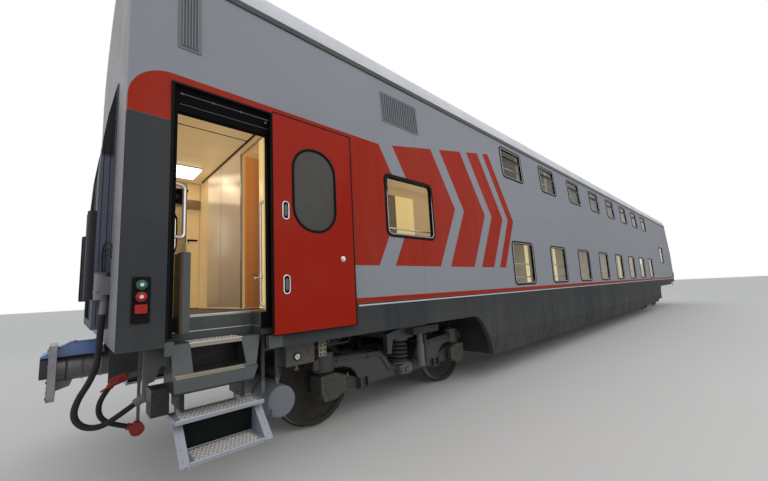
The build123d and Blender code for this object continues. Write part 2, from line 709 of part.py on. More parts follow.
def coupler(end):
    """Tight-lock coupler with its face plate, nose, ridged hood, fin and round shank."""
    x = station(COUPLER_FACE)
    pivot = station(COUPLER_PIVOT)
    low, high = rail(700), rail(1186)
    plate = block((x, x + 52), (-245, 245), (low, high))
    plate = chamfer(plate.edges().filter_by(Axis.X), 35)
    nose = block((x - 60, x), (-150, 150), (rail(890), rail(1090)))
    nose = chamfer(nose.edges().filter_by(Axis.X), 30)
    shank = rod((x + 40, 0, COUPLER_Z), (pivot, 0, COUPLER_Z), 125)
    collar = rod((x + 455, 0, COUPLER_Z), (x + 505, 0, COUPLER_Z), 140)
    ridge = [(-150, rail(1075)), (-150, rail(1092)), (-45, rail(1190)), (45, rail(1190)), (150, rail(1092)),
             (150, rail(1075))]
    side = [(x - 58, rail(1075)), (x - 58, rail(1092)), (x + 135, rail(1190)), (x + 375, rail(1190)),
            (x + 395, rail(1075))]
    hood = along_x(ridge, x - 58, x + 395) & along_y(side, -150, 150)
    fin = along_y([(x + 50, rail(860)), (x + 50, rail(758)), (x + 150, rail(788)), (x + 175, rail(860))], -35, 35)
    eye = Pos(pivot, 0, COUPLER_Z) * Cylinder(100, 200)
    body = plate + [nose, shank, collar, hood, fin, eye]
    return body if end < 0 else mirror_x(body)


# Bogies


def wheelset(x):
    """Axle, two flanged wheels and two brake discs on one axis."""
    tread, hub = WHEEL_R, 130
    back, front = WHEEL_BACK, WHEEL_BACK + RIM
    half = [(AXLE_R, 345), (160, 345), (160, 365), (305, 365), (305, 475), (160, 475), (160, 500),
            (AXLE_R + 15, 500), (AXLE_R + 15, back - 30), (hub, back - 30), (hub, back), (tread - 60, back + 5),
            (tread - 60, back), (tread + FLANGE - 8, back), (tread + FLANGE, back + 14), (tread + 8, back + 33),
            (tread, back + 60), (tread - 4, front), (tread - 60, front), (tread - 60, front - 45), (hub, front - 45),
            (hub, front + 20), (AXLE_R - 15, front + 20), (AXLE_R - 15, 1130), (0, 1130)]
    outline = half + [(r, -y) for r, y in reversed(half)]
    face = Pos(x, 0, AXLE_Z) * make_face(Polyline(*outline, close=True))
    return revolve(face, axis=Axis((x, 0, AXLE_Z), (0, 1, 0)))


def beam_outline():
    """Side view of a bogie's side beam: cranked down under the spring, with an arm bracket by each axle box."""
    top = Polyline((0, 520), (190, 520))
    crank = ThreePointArc((190, 520), (280, 615), (400, 740))
    horn = Polyline((400, 740), (1380, 800), (1430, 760), (1430, 680), (1010, 655))
    arch = ThreePointArc((1010, 655), (860, 590), (790, 480))
    foot = Polyline((790, 480), (790, 345), (650, 345), (590, 380), (0, 380))
    half = Curve() + [top, crank, horn, arch, foot]
    return make_face(half + mirror(half, about=Plane.YZ))


BEAM_HALF = 90
POT_Z = (rail(655), rail(845))


def bogie_frame(x):
    """Frame of two cranked side beams, two tube transoms and a spring pot over each axle box."""
    outline = Pos(x, FLANGE) * beam_outline()
    frame = along_y(outline, FRAME_Y - BEAM_HALF, FRAME_Y + BEAM_HALF)
    frame += along_y(outline, -FRAME_Y - BEAM_HALF, BEAM_HALF - FRAME_Y)
    for s in (-1, 1):
        u = x + s * 400
        frame += rod((u, -FRAME_Y, rail(450)), (u, FRAME_Y, rail(450)), 75)
        for side in (-1, 1):
            axle = (x + s * WHEELBASE / 2, side * FRAME_Y)
            frame += rod((*axle, POT_Z[0]), (*axle, POT_Z[1]), 135)
    return frame


def bogie_bolster(x):
    """Bolster on the secondary springs, with the pivot hole and the stop lugs beside the springs."""
    bolster = block((x - 170, x + 170), (-1180, 1180), (rail(862), BEARER_Z - 10))
    bolster -= Pos(x, 0, rail(900)) * Cylinder(72, 300)
    lug = [(x - 160, BEARER_Z - 15), (x - 350, rail(955)), (x - 350, rail(700)), (x - 285, rail(690)),
           (x - 240, rail(875)), (x - 160, rail(870))]
    for y in (-1180, 1100):
        bolster += along_y(lug, y, y + 80)
    return bolster


def spring(x, y, z0, z1, mean, wire, turns):
    """Coil spring drawn as one turned body with a ridge for each coil."""
    pitch = (z1 - z0) / turns
    edge = [(0, z0), (mean, z0)]
    for i in range(turns):
        edge += [(mean + wire / 2, z0 + (i + 0.5) * pitch), (mean - wire / 2, z0 + (i + 1) * pitch)]
    edge = [*edge[:-1], (mean, z1), (0, z1)]
    face = Plane(origin=(x, y, 0), x_dir=(1, 0, 0), z_dir=(0, -1, 0)) * make_face(Polyline(*edge, close=True))
    return revolve(face, axis=Axis((x, y, 0), (0, 0, 1)))


def bogie_springs(x):
    """Secondary coil springs under the bolster and primary springs in the pots over the axle boxes."""
    coils = []
    for s in (-1, 1):
        coils.append(spring(x, s * FRAME_Y, rail(520), rail(862), 138, 36, 5))
        for axle in (-1, 1):
            coils.append(spring(x + axle * WHEELBASE / 2, s * FRAME_Y, rail(598), POT_Z[0], 95, 20, 2))
    return together(coils)


# Axle box cover seen from the side: offsets from the axle, towards the middle of the bogie and up
COVER = ((-130, 130), (66, 145), (215, 93), (215, -68), (74, -135), (-86, -137), (-130, -53))


def axle_boxes(x):
    """Axle boxes with shield-shaped end covers and guide arms to the frame's brackets."""
    boxes = []
    for s in (-1, 1):
        for axle in (-1, 1):
            centre = x + axle * WHEELBASE / 2
            reach = sorted((centre + axle * 120, centre - axle * 150))
            box = block(reach, sorted((s * 920, s * 1120)), (AXLE_Z - 130, rail(598)))
            cover = [(centre - axle * u, AXLE_Z + v) for u, v in COVER]
            box += along_y(cover, *sorted((s * 1105, s * 1170)))
            arm = [(130, 575), (250, 560), (460, 480), (460, 365), (250, 375), (130, 380)]
            box += along_y([(centre - axle * u, rail(z)) for u, z in arm], *sorted((s * 940, s * 1060)))
            box -= rod((centre, s * 900, AXLE_Z), (centre, s * 1140, AXLE_Z), AXLE_R - 13)
            boxes.append(box)
    return together(boxes)


def dampers(x):
    """Upright secondary dampers beside the springs, and the levelling valve below each spring."""
    tubes = []
    for s in (-1, 1):
        u, y = x + 262, s * 1215
        damper = rod((u, y, rail(455)), (u, y, rail(760)), 54)
        damper += rod((u, y, rail(760)), (u, y, rail(955)), 42)
        damper += block((u - 35, u + 35), sorted((s * 1090, y)), (rail(470), rail(530)))
        damper += block((u - 210, u + 340), sorted((s * 1185, s * 1300)), (rail(905), rail(1000)))
        tubes.append(damper)
        valve = block((x - 110, x + 110), sorted((s * 1090, s * 1150)), (rail(395), rail(505)))
        valve += rod((x + 60, s * 1150, rail(450)), (x + 60, s * 1180, rail(450)), 36)
        tubes.append(valve)
    return together(tubes)


def brake_gear(x):
    """Disc brake calipers hung from the transoms."""
    pieces = []
    for axle in (-1, 1):
        for s in (-1, 1):
            y = s * 420
            u = x + axle * (WHEELBASE / 2 - 285)
            caliper = block((u - 110, u + 110), (y - 95, y - 62), (rail(400), rail(560)))
            caliper += block((u - 110, u + 110), (y + 62, y + 95), (rail(400), rail(560)))
            back = x + axle * (WHEELBASE / 2 - 660)
            caliper += block(sorted((back, u - axle * 110)), (y - 95, y + 95), (rail(490), rail(560)))
            pieces.append(caliper)
    return together(pieces)


def main():
    """Builds every piece and writes one STEP file for each."""
    right_panel, right_wall = side_wall(-1)
    left_panel, left_wall = side_wall(1)
    nodes = {
        "door_panel_right": right_panel,
        "door_panel_left": left_panel,
        "side_wall_right": right_wall,
        "side_wall_left": left_wall,
        "window_frames": window_frames(),
        "window_panes": together([window_panes(), door_panes()]),
        "roof": roof(),
        "gutters": gutters(),
        "end_wall_a": end_wall(-1),
        "end_wall_b": end_wall(1),
        "gangway_a": gangway(-1),
        "gangway_b": gangway(1),
        "end_door_a": end_door(-1),
        "end_door_b": end_door(1),
        "end_frame_a": end_frame(-1),
        "end_frame_b": end_frame(1),
        "well_frame": well_frame(),
        "end_floors": end_floors(),
        "deck_floors": deck_floors(),
        "ceilings": ceilings(),
        "cross_walls": cross_walls(),
        "corridor_walls": corridor_walls(),
        "compartment_fittings": compartment_fittings(),
        "end_partitions": end_partitions(),
        "inner_door": inner_door(),
        "door_surrounds": door_surrounds(),
        "door_leaf_right": door_leaf(-1),
        "door_leaf_left": door_leaf(1),
        "entry_steps": entry_steps(),
        "slide_step_right": slide_step(-1),
        "slide_step_left": slide_step(1),
        "floor_flap_right": floor_flap(-1),
        "floor_flap_left": floor_flap(1),
        "handrails": handrails(),
        "lamp_panels": lamp_panels(),
        "vent_grilles": vent_grilles(),
        "air_gear": together([air_tanks(), brake_cases()]),
        "end_sockets": end_sockets(),
        "brake_cocks": brake_cocks(),
        "jumper_hose": hose(JUMPER_HOSE, JUMPER_D),
        "brake_hose": hose(BRAKE_HOSE, BRAKE_D),
        "brake_hose_head": brake_hose_head(),
        "coupler_a": coupler(-1),
        "coupler_b": coupler(1),
    }
    for name, x in (("a", -BOGIE_HALF_SPACING), ("b", BOGIE_HALF_SPACING)):
        nodes[f"bogie_frame_{name}"] = bogie_frame(x)
        nodes[f"bogie_bolster_{name}"] = bogie_bolster(x)
        nodes[f"bogie_springs_{name}"] = bogie_springs(x)
        nodes[f"axle_boxes_{name}"] = axle_boxes(x)
        nodes[f"dampers_{name}"] = dampers(x)
        nodes[f"brake_gear_{name}"] = brake_gear(x)
        nodes[f"wheelset_{name}_outer"] = wheelset(x + (WHEELBASE / 2 if x > 0 else -WHEELBASE / 2))
        nodes[f"wheelset_{name}_inner"] = wheelset(x - (WHEELBASE / 2 if x > 0 else -WHEELBASE / 2))
    os.makedirs("parts", exist_ok=True)
    for name, shape in nodes.items():
        export_step(shape, f"parts/{name}.step")


main()
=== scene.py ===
"""Finishes, trim and running gear of a double-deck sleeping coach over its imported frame."""
from __future__ import annotations

import itertools
import json
import logging
import math
from dataclasses import dataclass
from enum import Enum
from typing import Any, Callable, Iterable, Iterator, Sequence

import bmesh
import bpy
from mathutils import Matrix, Vector

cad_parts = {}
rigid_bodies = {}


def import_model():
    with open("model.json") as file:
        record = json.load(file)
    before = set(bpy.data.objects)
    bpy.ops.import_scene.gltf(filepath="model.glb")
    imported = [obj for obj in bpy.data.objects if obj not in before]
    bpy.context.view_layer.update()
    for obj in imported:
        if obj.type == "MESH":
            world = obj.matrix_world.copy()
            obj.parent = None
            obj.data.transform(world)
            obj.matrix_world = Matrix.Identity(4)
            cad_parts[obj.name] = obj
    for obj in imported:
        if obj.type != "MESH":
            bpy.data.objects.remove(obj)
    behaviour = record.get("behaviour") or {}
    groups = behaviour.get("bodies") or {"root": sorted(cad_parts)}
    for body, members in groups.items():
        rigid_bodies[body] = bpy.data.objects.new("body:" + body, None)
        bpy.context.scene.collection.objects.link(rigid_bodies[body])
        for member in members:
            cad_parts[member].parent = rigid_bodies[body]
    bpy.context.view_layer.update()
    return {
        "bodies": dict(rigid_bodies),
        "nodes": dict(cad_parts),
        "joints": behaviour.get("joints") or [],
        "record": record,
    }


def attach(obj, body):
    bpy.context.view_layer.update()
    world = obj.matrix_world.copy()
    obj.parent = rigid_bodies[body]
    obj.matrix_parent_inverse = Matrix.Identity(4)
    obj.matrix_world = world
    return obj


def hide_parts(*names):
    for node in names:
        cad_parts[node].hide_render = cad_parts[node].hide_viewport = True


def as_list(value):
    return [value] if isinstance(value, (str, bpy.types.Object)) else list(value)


LOG = logging.getLogger("coach")

RGB = tuple[float, float, float]
Point = tuple[float, float, float]
Pair = tuple[float, float]
Outline = tuple[Pair, ...]
Rows = tuple[tuple[float, ...], ...]
Stands = Sequence[tuple[Point, Point]]

HALF = 12.75
FLANGE = 0.028
COACH = "coach_body"
SIDES = (-1, 1)
SIDE_NAMES = ((-1, "right"), (1, "left"))
UPWARD: Point = (0.0, 0.0, 1.0)
DOWNWARD: Point = (0.0, 0.0, -1.0)
EDGE = 0.0005


def at(x: float) -> float:
    """Row x of a distance from end A, in metres."""
    return x - HALF


def up(z: float) -> float:
    """Row z of a height above the rails, in metres."""
    return z + FLANGE


# Shader expressions
class Value:
    """A shader socket that adds Math nodes when it stands in an expression."""

    def __init__(self, tree: "Tree", socket: bpy.types.NodeSocket) -> None:
        """Wraps one output socket of a shader tree."""
        self.tree = tree
        self.socket = socket

    def math(self, operation: str, *others: "Value | float", clamp: bool = False) -> "Value":
        """Adds one Math node.

        Args:
            operation: name of the Math operation.
            others: its second and third operands.
            clamp: whether the result is kept between 0 and 1.

        Returns:
            The node's result.
        """
        sockets = {0: self, **{i + 1: v for i, v in enumerate(others)}}
        return self.tree.add("ShaderNodeMath", {"operation": operation, "use_clamp": clamp}, sockets)

    def __add__(self, other: "Value | float") -> "Value":
        """Sum."""
        return self.math("ADD", other)

    def __radd__(self, other: float) -> "Value":
        """Sum, reflected."""
        return self.math("ADD", other)

    def __sub__(self, other: "Value | float") -> "Value":
        """Difference."""
        return self.math("SUBTRACT", other)

    def __rsub__(self, other: float) -> "Value":
        """Difference, reflected."""
        return self.math("MULTIPLY_ADD", -1.0, other)

    def __mul__(self, other: "Value | float") -> "Value":
        """Product."""
        return self.math("MULTIPLY", other)

    def __rmul__(self, other: float) -> "Value":
        """Product, reflected."""
        return self.math("MULTIPLY", other)

    def __truediv__(self, other: "Value | float") -> "Value":
        """Quotient."""
        return self.math("DIVIDE", other)

    def __abs__(self) -> "Value":
        """Size without its sign."""
        return self.math("ABSOLUTE")

    def __or__(self, other: "Value | float") -> "Value":
        """Union of two masks."""
        return self.math("MAXIMUM", other)

    def __and__(self, other: "Value | float") -> "Value":
        """Overlap of two masks."""
        return self.math("MINIMUM", other)

    def above(self, edge: "Value | float", soft: float = 0.002) -> "Value":
        """Mask that rises from 0 to 1 as the value passes an edge, over twice the softness."""
        return ((self - edge) / (2 * soft)).math("ADD", 0.5, clamp=True)

    def below(self, edge: "Value | float", soft: float = 0.002) -> "Value":
        """Mask that is 1 under an edge."""
        return 1 - self.above(edge, soft)

    def between(self, low: "Value | float", high: "Value | float", soft: float = 0.002) -> "Value":
        """Mask that is 1 between two edges."""
        return self.above(low, soft) * self.below(high, soft)

    def clamped(self) -> "Value":
        """The value, kept between 0 and 1."""
        return self.math("ADD", 0.0, clamp=True)

    def wave(self, pitch: float) -> "Value":
        """Distance from the middle of each pitch, from 0 to 0.5 of it."""
        return abs((self / pitch).math("FRACT") - 0.5)


class Tree:
    """A shader node tree of a material or the world."""

    def __init__(self, owner: bpy.types.Material | bpy.types.World) -> None:
        """Empties the tree of its owner."""
        owner.use_nodes = True
        self.nodes = owner.node_tree.nodes
        self.links = owner.node_tree.links
        self.nodes.clear()

    def add(self, kind: str, settings: dict[str, Any], sockets: dict[Any, Any], output: Any = 0) -> Value:
        """Adds one node.

        Args:
            kind: the node's type.
            settings: its properties, set before its sockets.
            sockets: value or link of each socket, by name or number.
            output: name or number of the output that is wanted.

        Returns:
            That output.
        """
        node = self.nodes.new(kind)
        for key, value in settings.items():
            setattr(node, key, value)
        for key, value in sockets.items():
            self.feed(node.inputs[key], value)
        return Value(self, node.outputs[output] if node.outputs else None)

    def feed(self, socket: bpy.types.NodeSocket, value: Any) -> None:
        """Links a socket, or sets its value."""
        if isinstance(value, (Value, bpy.types.NodeSocket)):
            self.links.new(getattr(value, "socket", value), socket)
        elif isinstance(value, tuple) and len(value) == 3 and len(socket.default_value) == 4:
            socket.default_value = (*value, 1)
        else:
            socket.default_value = value


class Shader(Tree):
    """A material's node tree with one Principled surface."""

    def __init__(self, name: str) -> None:
        """Makes an empty material with its surface and coordinates."""
        self.material = bpy.data.materials.new(name)
        super().__init__(self.material)
        self.surface = self.nodes.new("ShaderNodeBsdfPrincipled")
        output = self.nodes.new("ShaderNodeOutputMaterial")
        self.links.new(self.surface.outputs[0], output.inputs[0])
        self.point = self.nodes.new("ShaderNodeTexCoord").outputs["Object"]
        axes = self.nodes.new("ShaderNodeSeparateXYZ")
        self.links.new(self.point, axes.inputs[0])
        self.x, self.y, self.z = (Value(self, s) for s in axes.outputs)

    @property
    def height(self) -> Value:
        """Height above the rails."""
        return self.z - FLANGE

    def facing(self, axis: int) -> Value:
        """One part of the direction that the surface faces."""
        normal = self.add("ShaderNodeNewGeometry", {}, {}, "Normal")
        return self.add("ShaderNodeSeparateXYZ", {}, {0: normal}, axis)

    def scaled(self, x: float, y: float, z: float) -> Value:
        """Object coordinates stretched along each axis."""
        return self.add("ShaderNodeVectorMath", {"operation": "MULTIPLY"}, {0: self.point, 1: (x, y, z)})

    def noise(self, scale: float, stretch: Point = (1, 1, 1), detail: float = 3, rough: float = 0.55) -> Value:
        """Soft noise over the surface, about 0.5 in its middle."""
        where = self.scaled(*stretch)
        return self.add("ShaderNodeTexNoise", {"noise_dimensions": "3D"},
                        {"Vector": where, "Scale": scale, "Detail": detail, "Roughness": rough}, "Fac")

    def mix(self, fac: "Value | float", a: Any, b: Any) -> Value:
        """Colour between two colours."""
        return self.add("ShaderNodeMix", {"data_type": "RGBA"}, {0: fac, 6: a, 7: b}, 2)

    def shade(self, colour: Any, amount: Value) -> Value:
        """Colour made darker or lighter by a number about 1."""
        return self.add("ShaderNodeVectorMath", {"operation": "SCALE"}, {0: colour, "Scale": amount})

    def bump(self, height: Value, depth: float, strength: float = 1.0) -> Value:
        """Normal of a surface with that relief, in metres."""
        return self.add("ShaderNodeBump", {}, {"Strength": strength, "Distance": depth, "Height": height}, "Normal")

    def finish(self, **sockets: Any) -> bpy.types.Material:
        """Sets the Principled surface's sockets, with underscores for spaces, and returns the material."""
        for name, value in sockets.items():
            self.feed(self.surface.inputs[name.replace("_", " ")], value)
        return self.material


# Finishes
@dataclass(frozen=True)
class Enamel:
    """Sprayed coach enamel with soft dust and a fine orange peel."""

    name: str
    colour: RGB
    roughness: float = 0.38
    coat: float = 0.03
    gloss: float = 0.12
    dust: float = 0.12
    dust_colour: RGB = (0.22, 0.20, 0.18)
    other: RGB | None = None
    other_axis: str = "x"
    other_limit: float = 0.0
    other_lean: float = 0.0
    other_top: float = 9.0

    def material(self) -> bpy.types.Material:
        """Builds the finish, with its other colour inside a leaning plane and below a height."""
        s = Shader(self.name)
        cloud = s.noise(1.7, detail=5)
        fine = s.noise(38.0, detail=2)
        colour = self.colour
        if self.other:
            inside = (abs(getattr(s, self.other_axis)) + s.height * self.other_lean).below(self.other_limit, EDGE)
            colour = s.mix(inside * s.height.below(self.other_top, EDGE), colour, self.other)
        tone = s.shade(colour, 0.93 + 0.14 * cloud)
        dusty = (cloud * 0.7 + fine * 0.3).between(0.5, 1.5, 0.12) * self.dust
        return s.finish(Base_Color=s.mix(dusty, tone, self.dust_colour),
                        Roughness=self.roughness + 0.16 * fine - 0.08 + dusty * 0.5,
                        Specular_IOR_Level=self.gloss, Coat_Weight=self.coat, Coat_Roughness=0.12,
                        Normal=s.bump(s.noise(420.0, detail=1), 0.0004, 0.35))


@dataclass(frozen=True)
class Grimed:
    """Underfloor paint with brake dust that settles on upper faces and thins out below."""

    name: str
    colour: RGB
    dust_colour: RGB = (0.085, 0.080, 0.070)
    dust: float = 0.55
    roughness: float = 0.58

    def material(self) -> bpy.types.Material:
        """Builds the finish."""
        s = Shader(self.name)
        cloud = s.noise(5.0, detail=6, rough=0.62)
        speck = s.noise(70.0, detail=3)
        settled = (s.facing(2) * 0.45 + cloud * 0.8 + speck * 0.25).above(0.62, 0.22) * self.dust
        tone = s.shade(self.colour, 0.75 + 0.5 * cloud)
        return s.finish(Base_Color=s.mix(settled, tone, self.dust_colour),
                        Roughness=self.roughness + settled * 0.35, Specular_IOR_Level=0.2,
                        Normal=s.bump(cloud * 0.6 + speck * 0.4, 0.0016, 0.5))


@dataclass(frozen=True)
class Rubber:
    """Black rubber with a dull bloom."""

    name: str
    colour: RGB = (0.016, 0.016, 0.018)
    roughness: float = 0.62
    bloom: float = 0.022
    shine: float = 0.10

    def material(self) -> bpy.types.Material:
        """Builds the finish."""
        s = Shader(self.name)
        cloud = s.noise(9.0, detail=4)
        grey = (self.bloom,) * 3
        return s.finish(Base_Color=s.mix(cloud.above(0.5, 0.2) * 0.6, self.colour, grey),
                        Roughness=self.roughness - 0.12 * cloud, Specular_IOR_Level=self.shine,
                        Normal=s.bump(s.noise(300.0, detail=2), 0.0006, 0.4))


@dataclass(frozen=True)
class BareMetal:
    """Steel or aluminium with fine lines along one axis and, where it glows, a painted sheen with painted reflection
    bands.
    """

    name: str
    colour: RGB = (0.60, 0.61, 0.62)
    roughness: float = 0.30
    grain: Point = (1.0, 60.0, 60.0)
    tarnish: float = 0.18
    metallic: float = 1.0
    # glow and bands paint a sheen and lamp reflections into the emission: painted light
    glow: float = 0.0
    bands: Outline = ()
    reflection_band_slope: float = 0.26

    def material(self) -> bpy.types.Material:
        """Builds the finish, with a painted sheen that glows more towards the ceiling and painted lamp reflections in
        sloping bands.
        """
        s = Shader(self.name)
        lines = s.noise(9.0, self.grain, detail=3)
        cloud = s.noise(4.0, detail=4)
        dull = s.shade(self.colour, 0.72 + 0.2 * cloud)
        return s.finish(Base_Color=s.mix(cloud.above(0.52, 0.15) * self.tarnish, self.colour, dull),
                        Roughness=self.roughness + 0.22 * lines - 0.08 + 0.1 * cloud,
                        Metallic=self.metallic, Emission_Color=s.shade(self.colour, self.painted_sheen(s)),
                        Emission_Strength=self.glow, Normal=s.bump(lines, 0.0004, 0.25))

    def painted_sheen(self, s: Shader) -> Value:
        """Painted sheen of a panel under a ceiling lamp, about 1 at the ceiling, with painted reflections in the
        sloping bands.
        """
        level = 0.30 + 0.52 * (s.height - 1.4).math("MULTIPLY", 0.5, clamp=True)
        for low, high in self.bands:
            level = level + (s.height - s.y * self.reflection_band_slope).between(low, high, 0.03)
        return level


@dataclass(frozen=True)
class Laminate:
    """Interior wall laminate with a faint figured grain and joints at a pitch along the coach; its glow is painted
    lamplight.
    """

    name: str
    colour: RGB
    figure: RGB
    glow: float = 0.0
    joint: float = 0.0
    roughness: float = 0.32
    door: RGB | None = None
    door_pitch: float = 1.83
    door_shift: float = -0.209
    painted_light_top: float = 9.0

    def material(self) -> bpy.types.Material:
        """Builds the finish, with door leaves at a pitch and its glow, painted lamplight, dimmed above a height as
        painted shade.
        """
        s = Shader(self.name)
        figure = s.noise(3.2, (1.0, 1.0, 0.16), detail=6, rough=0.6)
        fibre = s.noise(60.0, (1.0, 1.0, 0.05), detail=2)
        tone = s.mix((figure * 0.7 + fibre * 0.3).above(0.5, 0.16) * 0.6, self.colour, self.figure)
        if self.door:
            tone = s.mix((s.x + self.door_shift).wave(self.door_pitch).below(0.055, 0.002), tone, self.door)
        height = fibre * 0.1
        if self.joint:
            line = s.x.wave(self.joint).below(0.004 / self.joint, 0.0012 / self.joint)
            tone = s.shade(tone, 1 - 0.55 * line)
            height = height - line
        return s.finish(Base_Color=tone, Roughness=self.roughness + 0.1 * fibre, Coat_Weight=0.1,
                        # painted light: the panel glows as if lamp-lit, and the glow is dimmed above a height as
                        # painted shade
                        Emission_Color=s.shade(tone, 1 - 0.8 * s.z.above(self.painted_light_top, 0.2)),
                        Emission_Strength=self.glow, Normal=s.bump(height, 0.0008, 0.5))


@dataclass(frozen=True)
class Veneer:
    """Orange-brown wood veneer, with painted shade that darkens it towards the coach's middle and towards the bottom,
    and a glow that is painted lamplight.
    """

    name: str
    light: RGB = (0.60, 0.225, 0.062)
    dark: RGB = (0.46, 0.150, 0.038)
    glow: float = 0.0
    hinge: float = 11.41
    shade_reach: float = 0.30

    def material(self) -> bpy.types.Material:
        """Builds the finish."""
        s = Shader(self.name)
        warp = s.noise(1.4, (1.0, 1.0, 0.25), detail=3)
        rings = s.add("ShaderNodeTexWave", {"wave_type": "BANDS", "bands_direction": "X"},
                      {"Vector": s.scaled(1.0, 1.6, 0.1), "Scale": 3.5, "Distortion": warp * 9, "Detail": 3.0,
                       "Detail Scale": 1.5}, "Fac")
        pores = s.noise(150.0, (1.0, 1.0, 0.03), detail=2)
        tone = s.mix((rings * 0.35 + pores * 0.65).above(0.5, 0.4) * 0.6, self.light, self.dark)
        # painted shade: darker over a reach towards the coach's middle
        tone = s.shade(tone, 1.06 - 0.55 * ((self.hinge - abs(s.x)) / self.shade_reach).clamped())
        # painted shade: darker towards the bottom
        tone = s.shade(tone, 0.55 + 0.45 * ((s.height - 1.4) / 1.4).clamped())
        return s.finish(Base_Color=tone, Roughness=0.30 + 0.15 * pores, Coat_Weight=0.2,
                        Emission_Color=tone, Emission_Strength=self.glow, Normal=s.bump(pores, 0.0004, 0.4))


@dataclass(frozen=True)
class Glass:
    """Tinted sealed glazing that shows the lit inside and mirrors the surroundings."""

    name: str
    tint: RGB = (0.86, 0.88, 0.85)
    roughness: float = 0.015

    def material(self) -> bpy.types.Material:
        """Builds the finish."""
        s = Shader(self.name)
        smear = s.noise(2.2, (1.0, 1.0, 0.4), detail=5)
        return s.finish(Base_Color=self.tint, Roughness=self.roughness + 0.03 * smear.above(0.55, 0.2),
                        Transmission_Weight=1.0, IOR=1.05, Specular_IOR_Level=1.0, Coat_Weight=0.22,
                        Coat_IOR=1.5, Coat_Roughness=0.01)


@dataclass(frozen=True)
class Lens:
    """Moulded signal lens or lit diffuser."""

    name: str
    colour: RGB
    glow: float = 0.6
    flutes: float = 0.006

    def material(self) -> bpy.types.Material:
        """Builds the finish."""
        s = Shader(self.name)
        ribs = s.z.wave(self.flutes) * 2
        return s.finish(Base_Color=self.colour, Roughness=0.25 + 0.05 * ribs, Specular_IOR_Level=0.2,
                        Coat_Weight=0.15, Emission_Color=s.shade(self.colour, 0.8 + 0.2 * ribs),
                        Emission_Strength=self.glow, Normal=s.bump(ribs, 0.001, 0.5))


@dataclass(frozen=True)
class Upholstery:
    """Berth covering with a woven surface."""

    name: str
    colour: RGB = (0.30, 0.05, 0.04)

    def material(self) -> bpy.types.Material:
        """Builds the finish."""
        s = Shader(self.name)
        weave = s.x.wave(0.004) * 2 + s.z.wave(0.004) * 2
        cloud = s.noise(5.0)
        return s.finish(Base_Color=s.shade(self.colour, 0.8 + 0.4 * cloud), Roughness=0.8 - 0.05 * weave,
                        Sheen_Weight=0.3, Normal=s.bump(weave, 0.0008, 0.6))


@dataclass(frozen=True)
class Livery:
    """Grey body sides with the red boarding zone, chevrons, pinstripe and dark lower band."""

    name: str = "side_livery"
    grey: RGB = (0.252, 0.264, 0.298)
    red: RGB = (0.312, 0.019, 0.007)
    dark: RGB = (0.040, 0.045, 0.050)
    stripe: Pair = (1.408, 1.464)
    band_top: float = 1.408
    zone_top: float = 3.39
    zone_foot: float = 1.83
    zone_corner: float = 0.30
    corner_panel: Pair = (0.294, 2.97)
    apex_height: float = 2.72
    slope: float = 0.52
    zone_edge: float = 2.93
    chevrons: Outline = ((3.20, 4.12), (4.36, 5.00), (5.22, 5.62), (5.82, 6.04))
    rise: float = 0.20
    seam: float = 2.86
    leaf_foot: float = 1.19
    door_end: float = 2.06
    line_start: float = 2.09
    ceiling_start: float = 2.6
    weld_start: float = 5.1
    butt: Pair = (0.55, 5.49)
    butt_foot: float = 1.46
    dirt_top: float = 1.5
    dirt_colour: RGB = (0.17, 0.155, 0.135)
    lining: RGB = (0.62, 0.48, 0.29)
    skin: Point = (1.545, 2.78, 0.0494)
    sill: float = 1.41
    lining_end: float = 12.70

    def material(self) -> bpy.types.Material:
        """Builds the finish."""
        s = Shader(self.name)
        x, z = s.x + HALF, s.height
        leaning = x + abs(z - self.apex_height) * self.slope
        across = (self.zone_corner - x) | 0.0
        over = (z - (self.zone_top - self.zone_corner)) | 0.0
        rounded_off = (across * across + over * over).math("SQRT").below(self.zone_corner)
        corner = x.below(self.corner_panel[0]) * z.below(self.corner_panel[1])
        door = rounded_off * leaning.below(self.zone_edge) * z.below(self.zone_top) * (1 - corner)
        door = door * (z.above(self.zone_foot) | x.below(self.door_end) * z.above(self.leaf_foot))
        ceiling = (x - self.ceiling_start) * self.rise + self.zone_top
        reds = door | z.between(*self.stripe) * x.above(self.line_start)
        for low, high in self.chevrons:
            reds = reds | leaning.between(low, high) * z.between(self.zone_foot, ceiling)
        darks = z.below(self.band_top) * (1 - door) | corner
        cloud = s.noise(1.1, (1.0, 1.0, 0.5), detail=6)
        streak = s.noise(7.0, (1.0, 1.0, 0.06), detail=4)
        tone = s.mix(reds, s.mix(darks, self.grey, self.dark), self.red)
        tone = s.shade(tone, 0.93 + 0.10 * cloud + 0.05 * streak)
        low = (self.dirt_top - z).math("MULTIPLY", 0.5, clamp=True)
        dirt = (streak * 0.5 + cloud * 0.5).above(0.5, 0.15) * (0.10 + low * 0.45)
        tone = s.mix(dirt, tone, self.dirt_colour)
        weld = z.between(self.seam - 0.003, self.seam + 0.003, 0.0015) * x.above(self.weld_start)
        butt = (x - self.butt[0]).wave(self.butt[1]).below(0.0006, 0.0002)
        joints = weld | butt * z.above(self.butt_foot)
        tone = s.shade(tone, 1 - 0.32 * joints)
        out, kink, lean = self.skin
        inside = (abs(s.y) + (z - kink | 0.0) * lean).below(out, 0.001)
        inside = inside * z.above(self.sill) * abs(s.x).below(self.lining_end)
        ripple = s.noise(0.9, (1.0, 1.0, 1.6), detail=2)
        peel = s.noise(320.0, detail=1)
        relief = ripple * 0.75 + peel * 0.012 - joints * 0.05
        return s.finish(Base_Color=s.mix(inside, tone, self.lining), Roughness=0.30 + 0.12 * cloud + dirt * 0.6,
                        Specular_IOR_Level=0.0, Coat_Weight=0.10, Coat_Roughness=0.10,
                        Normal=s.bump(relief, 0.012, 0.35))


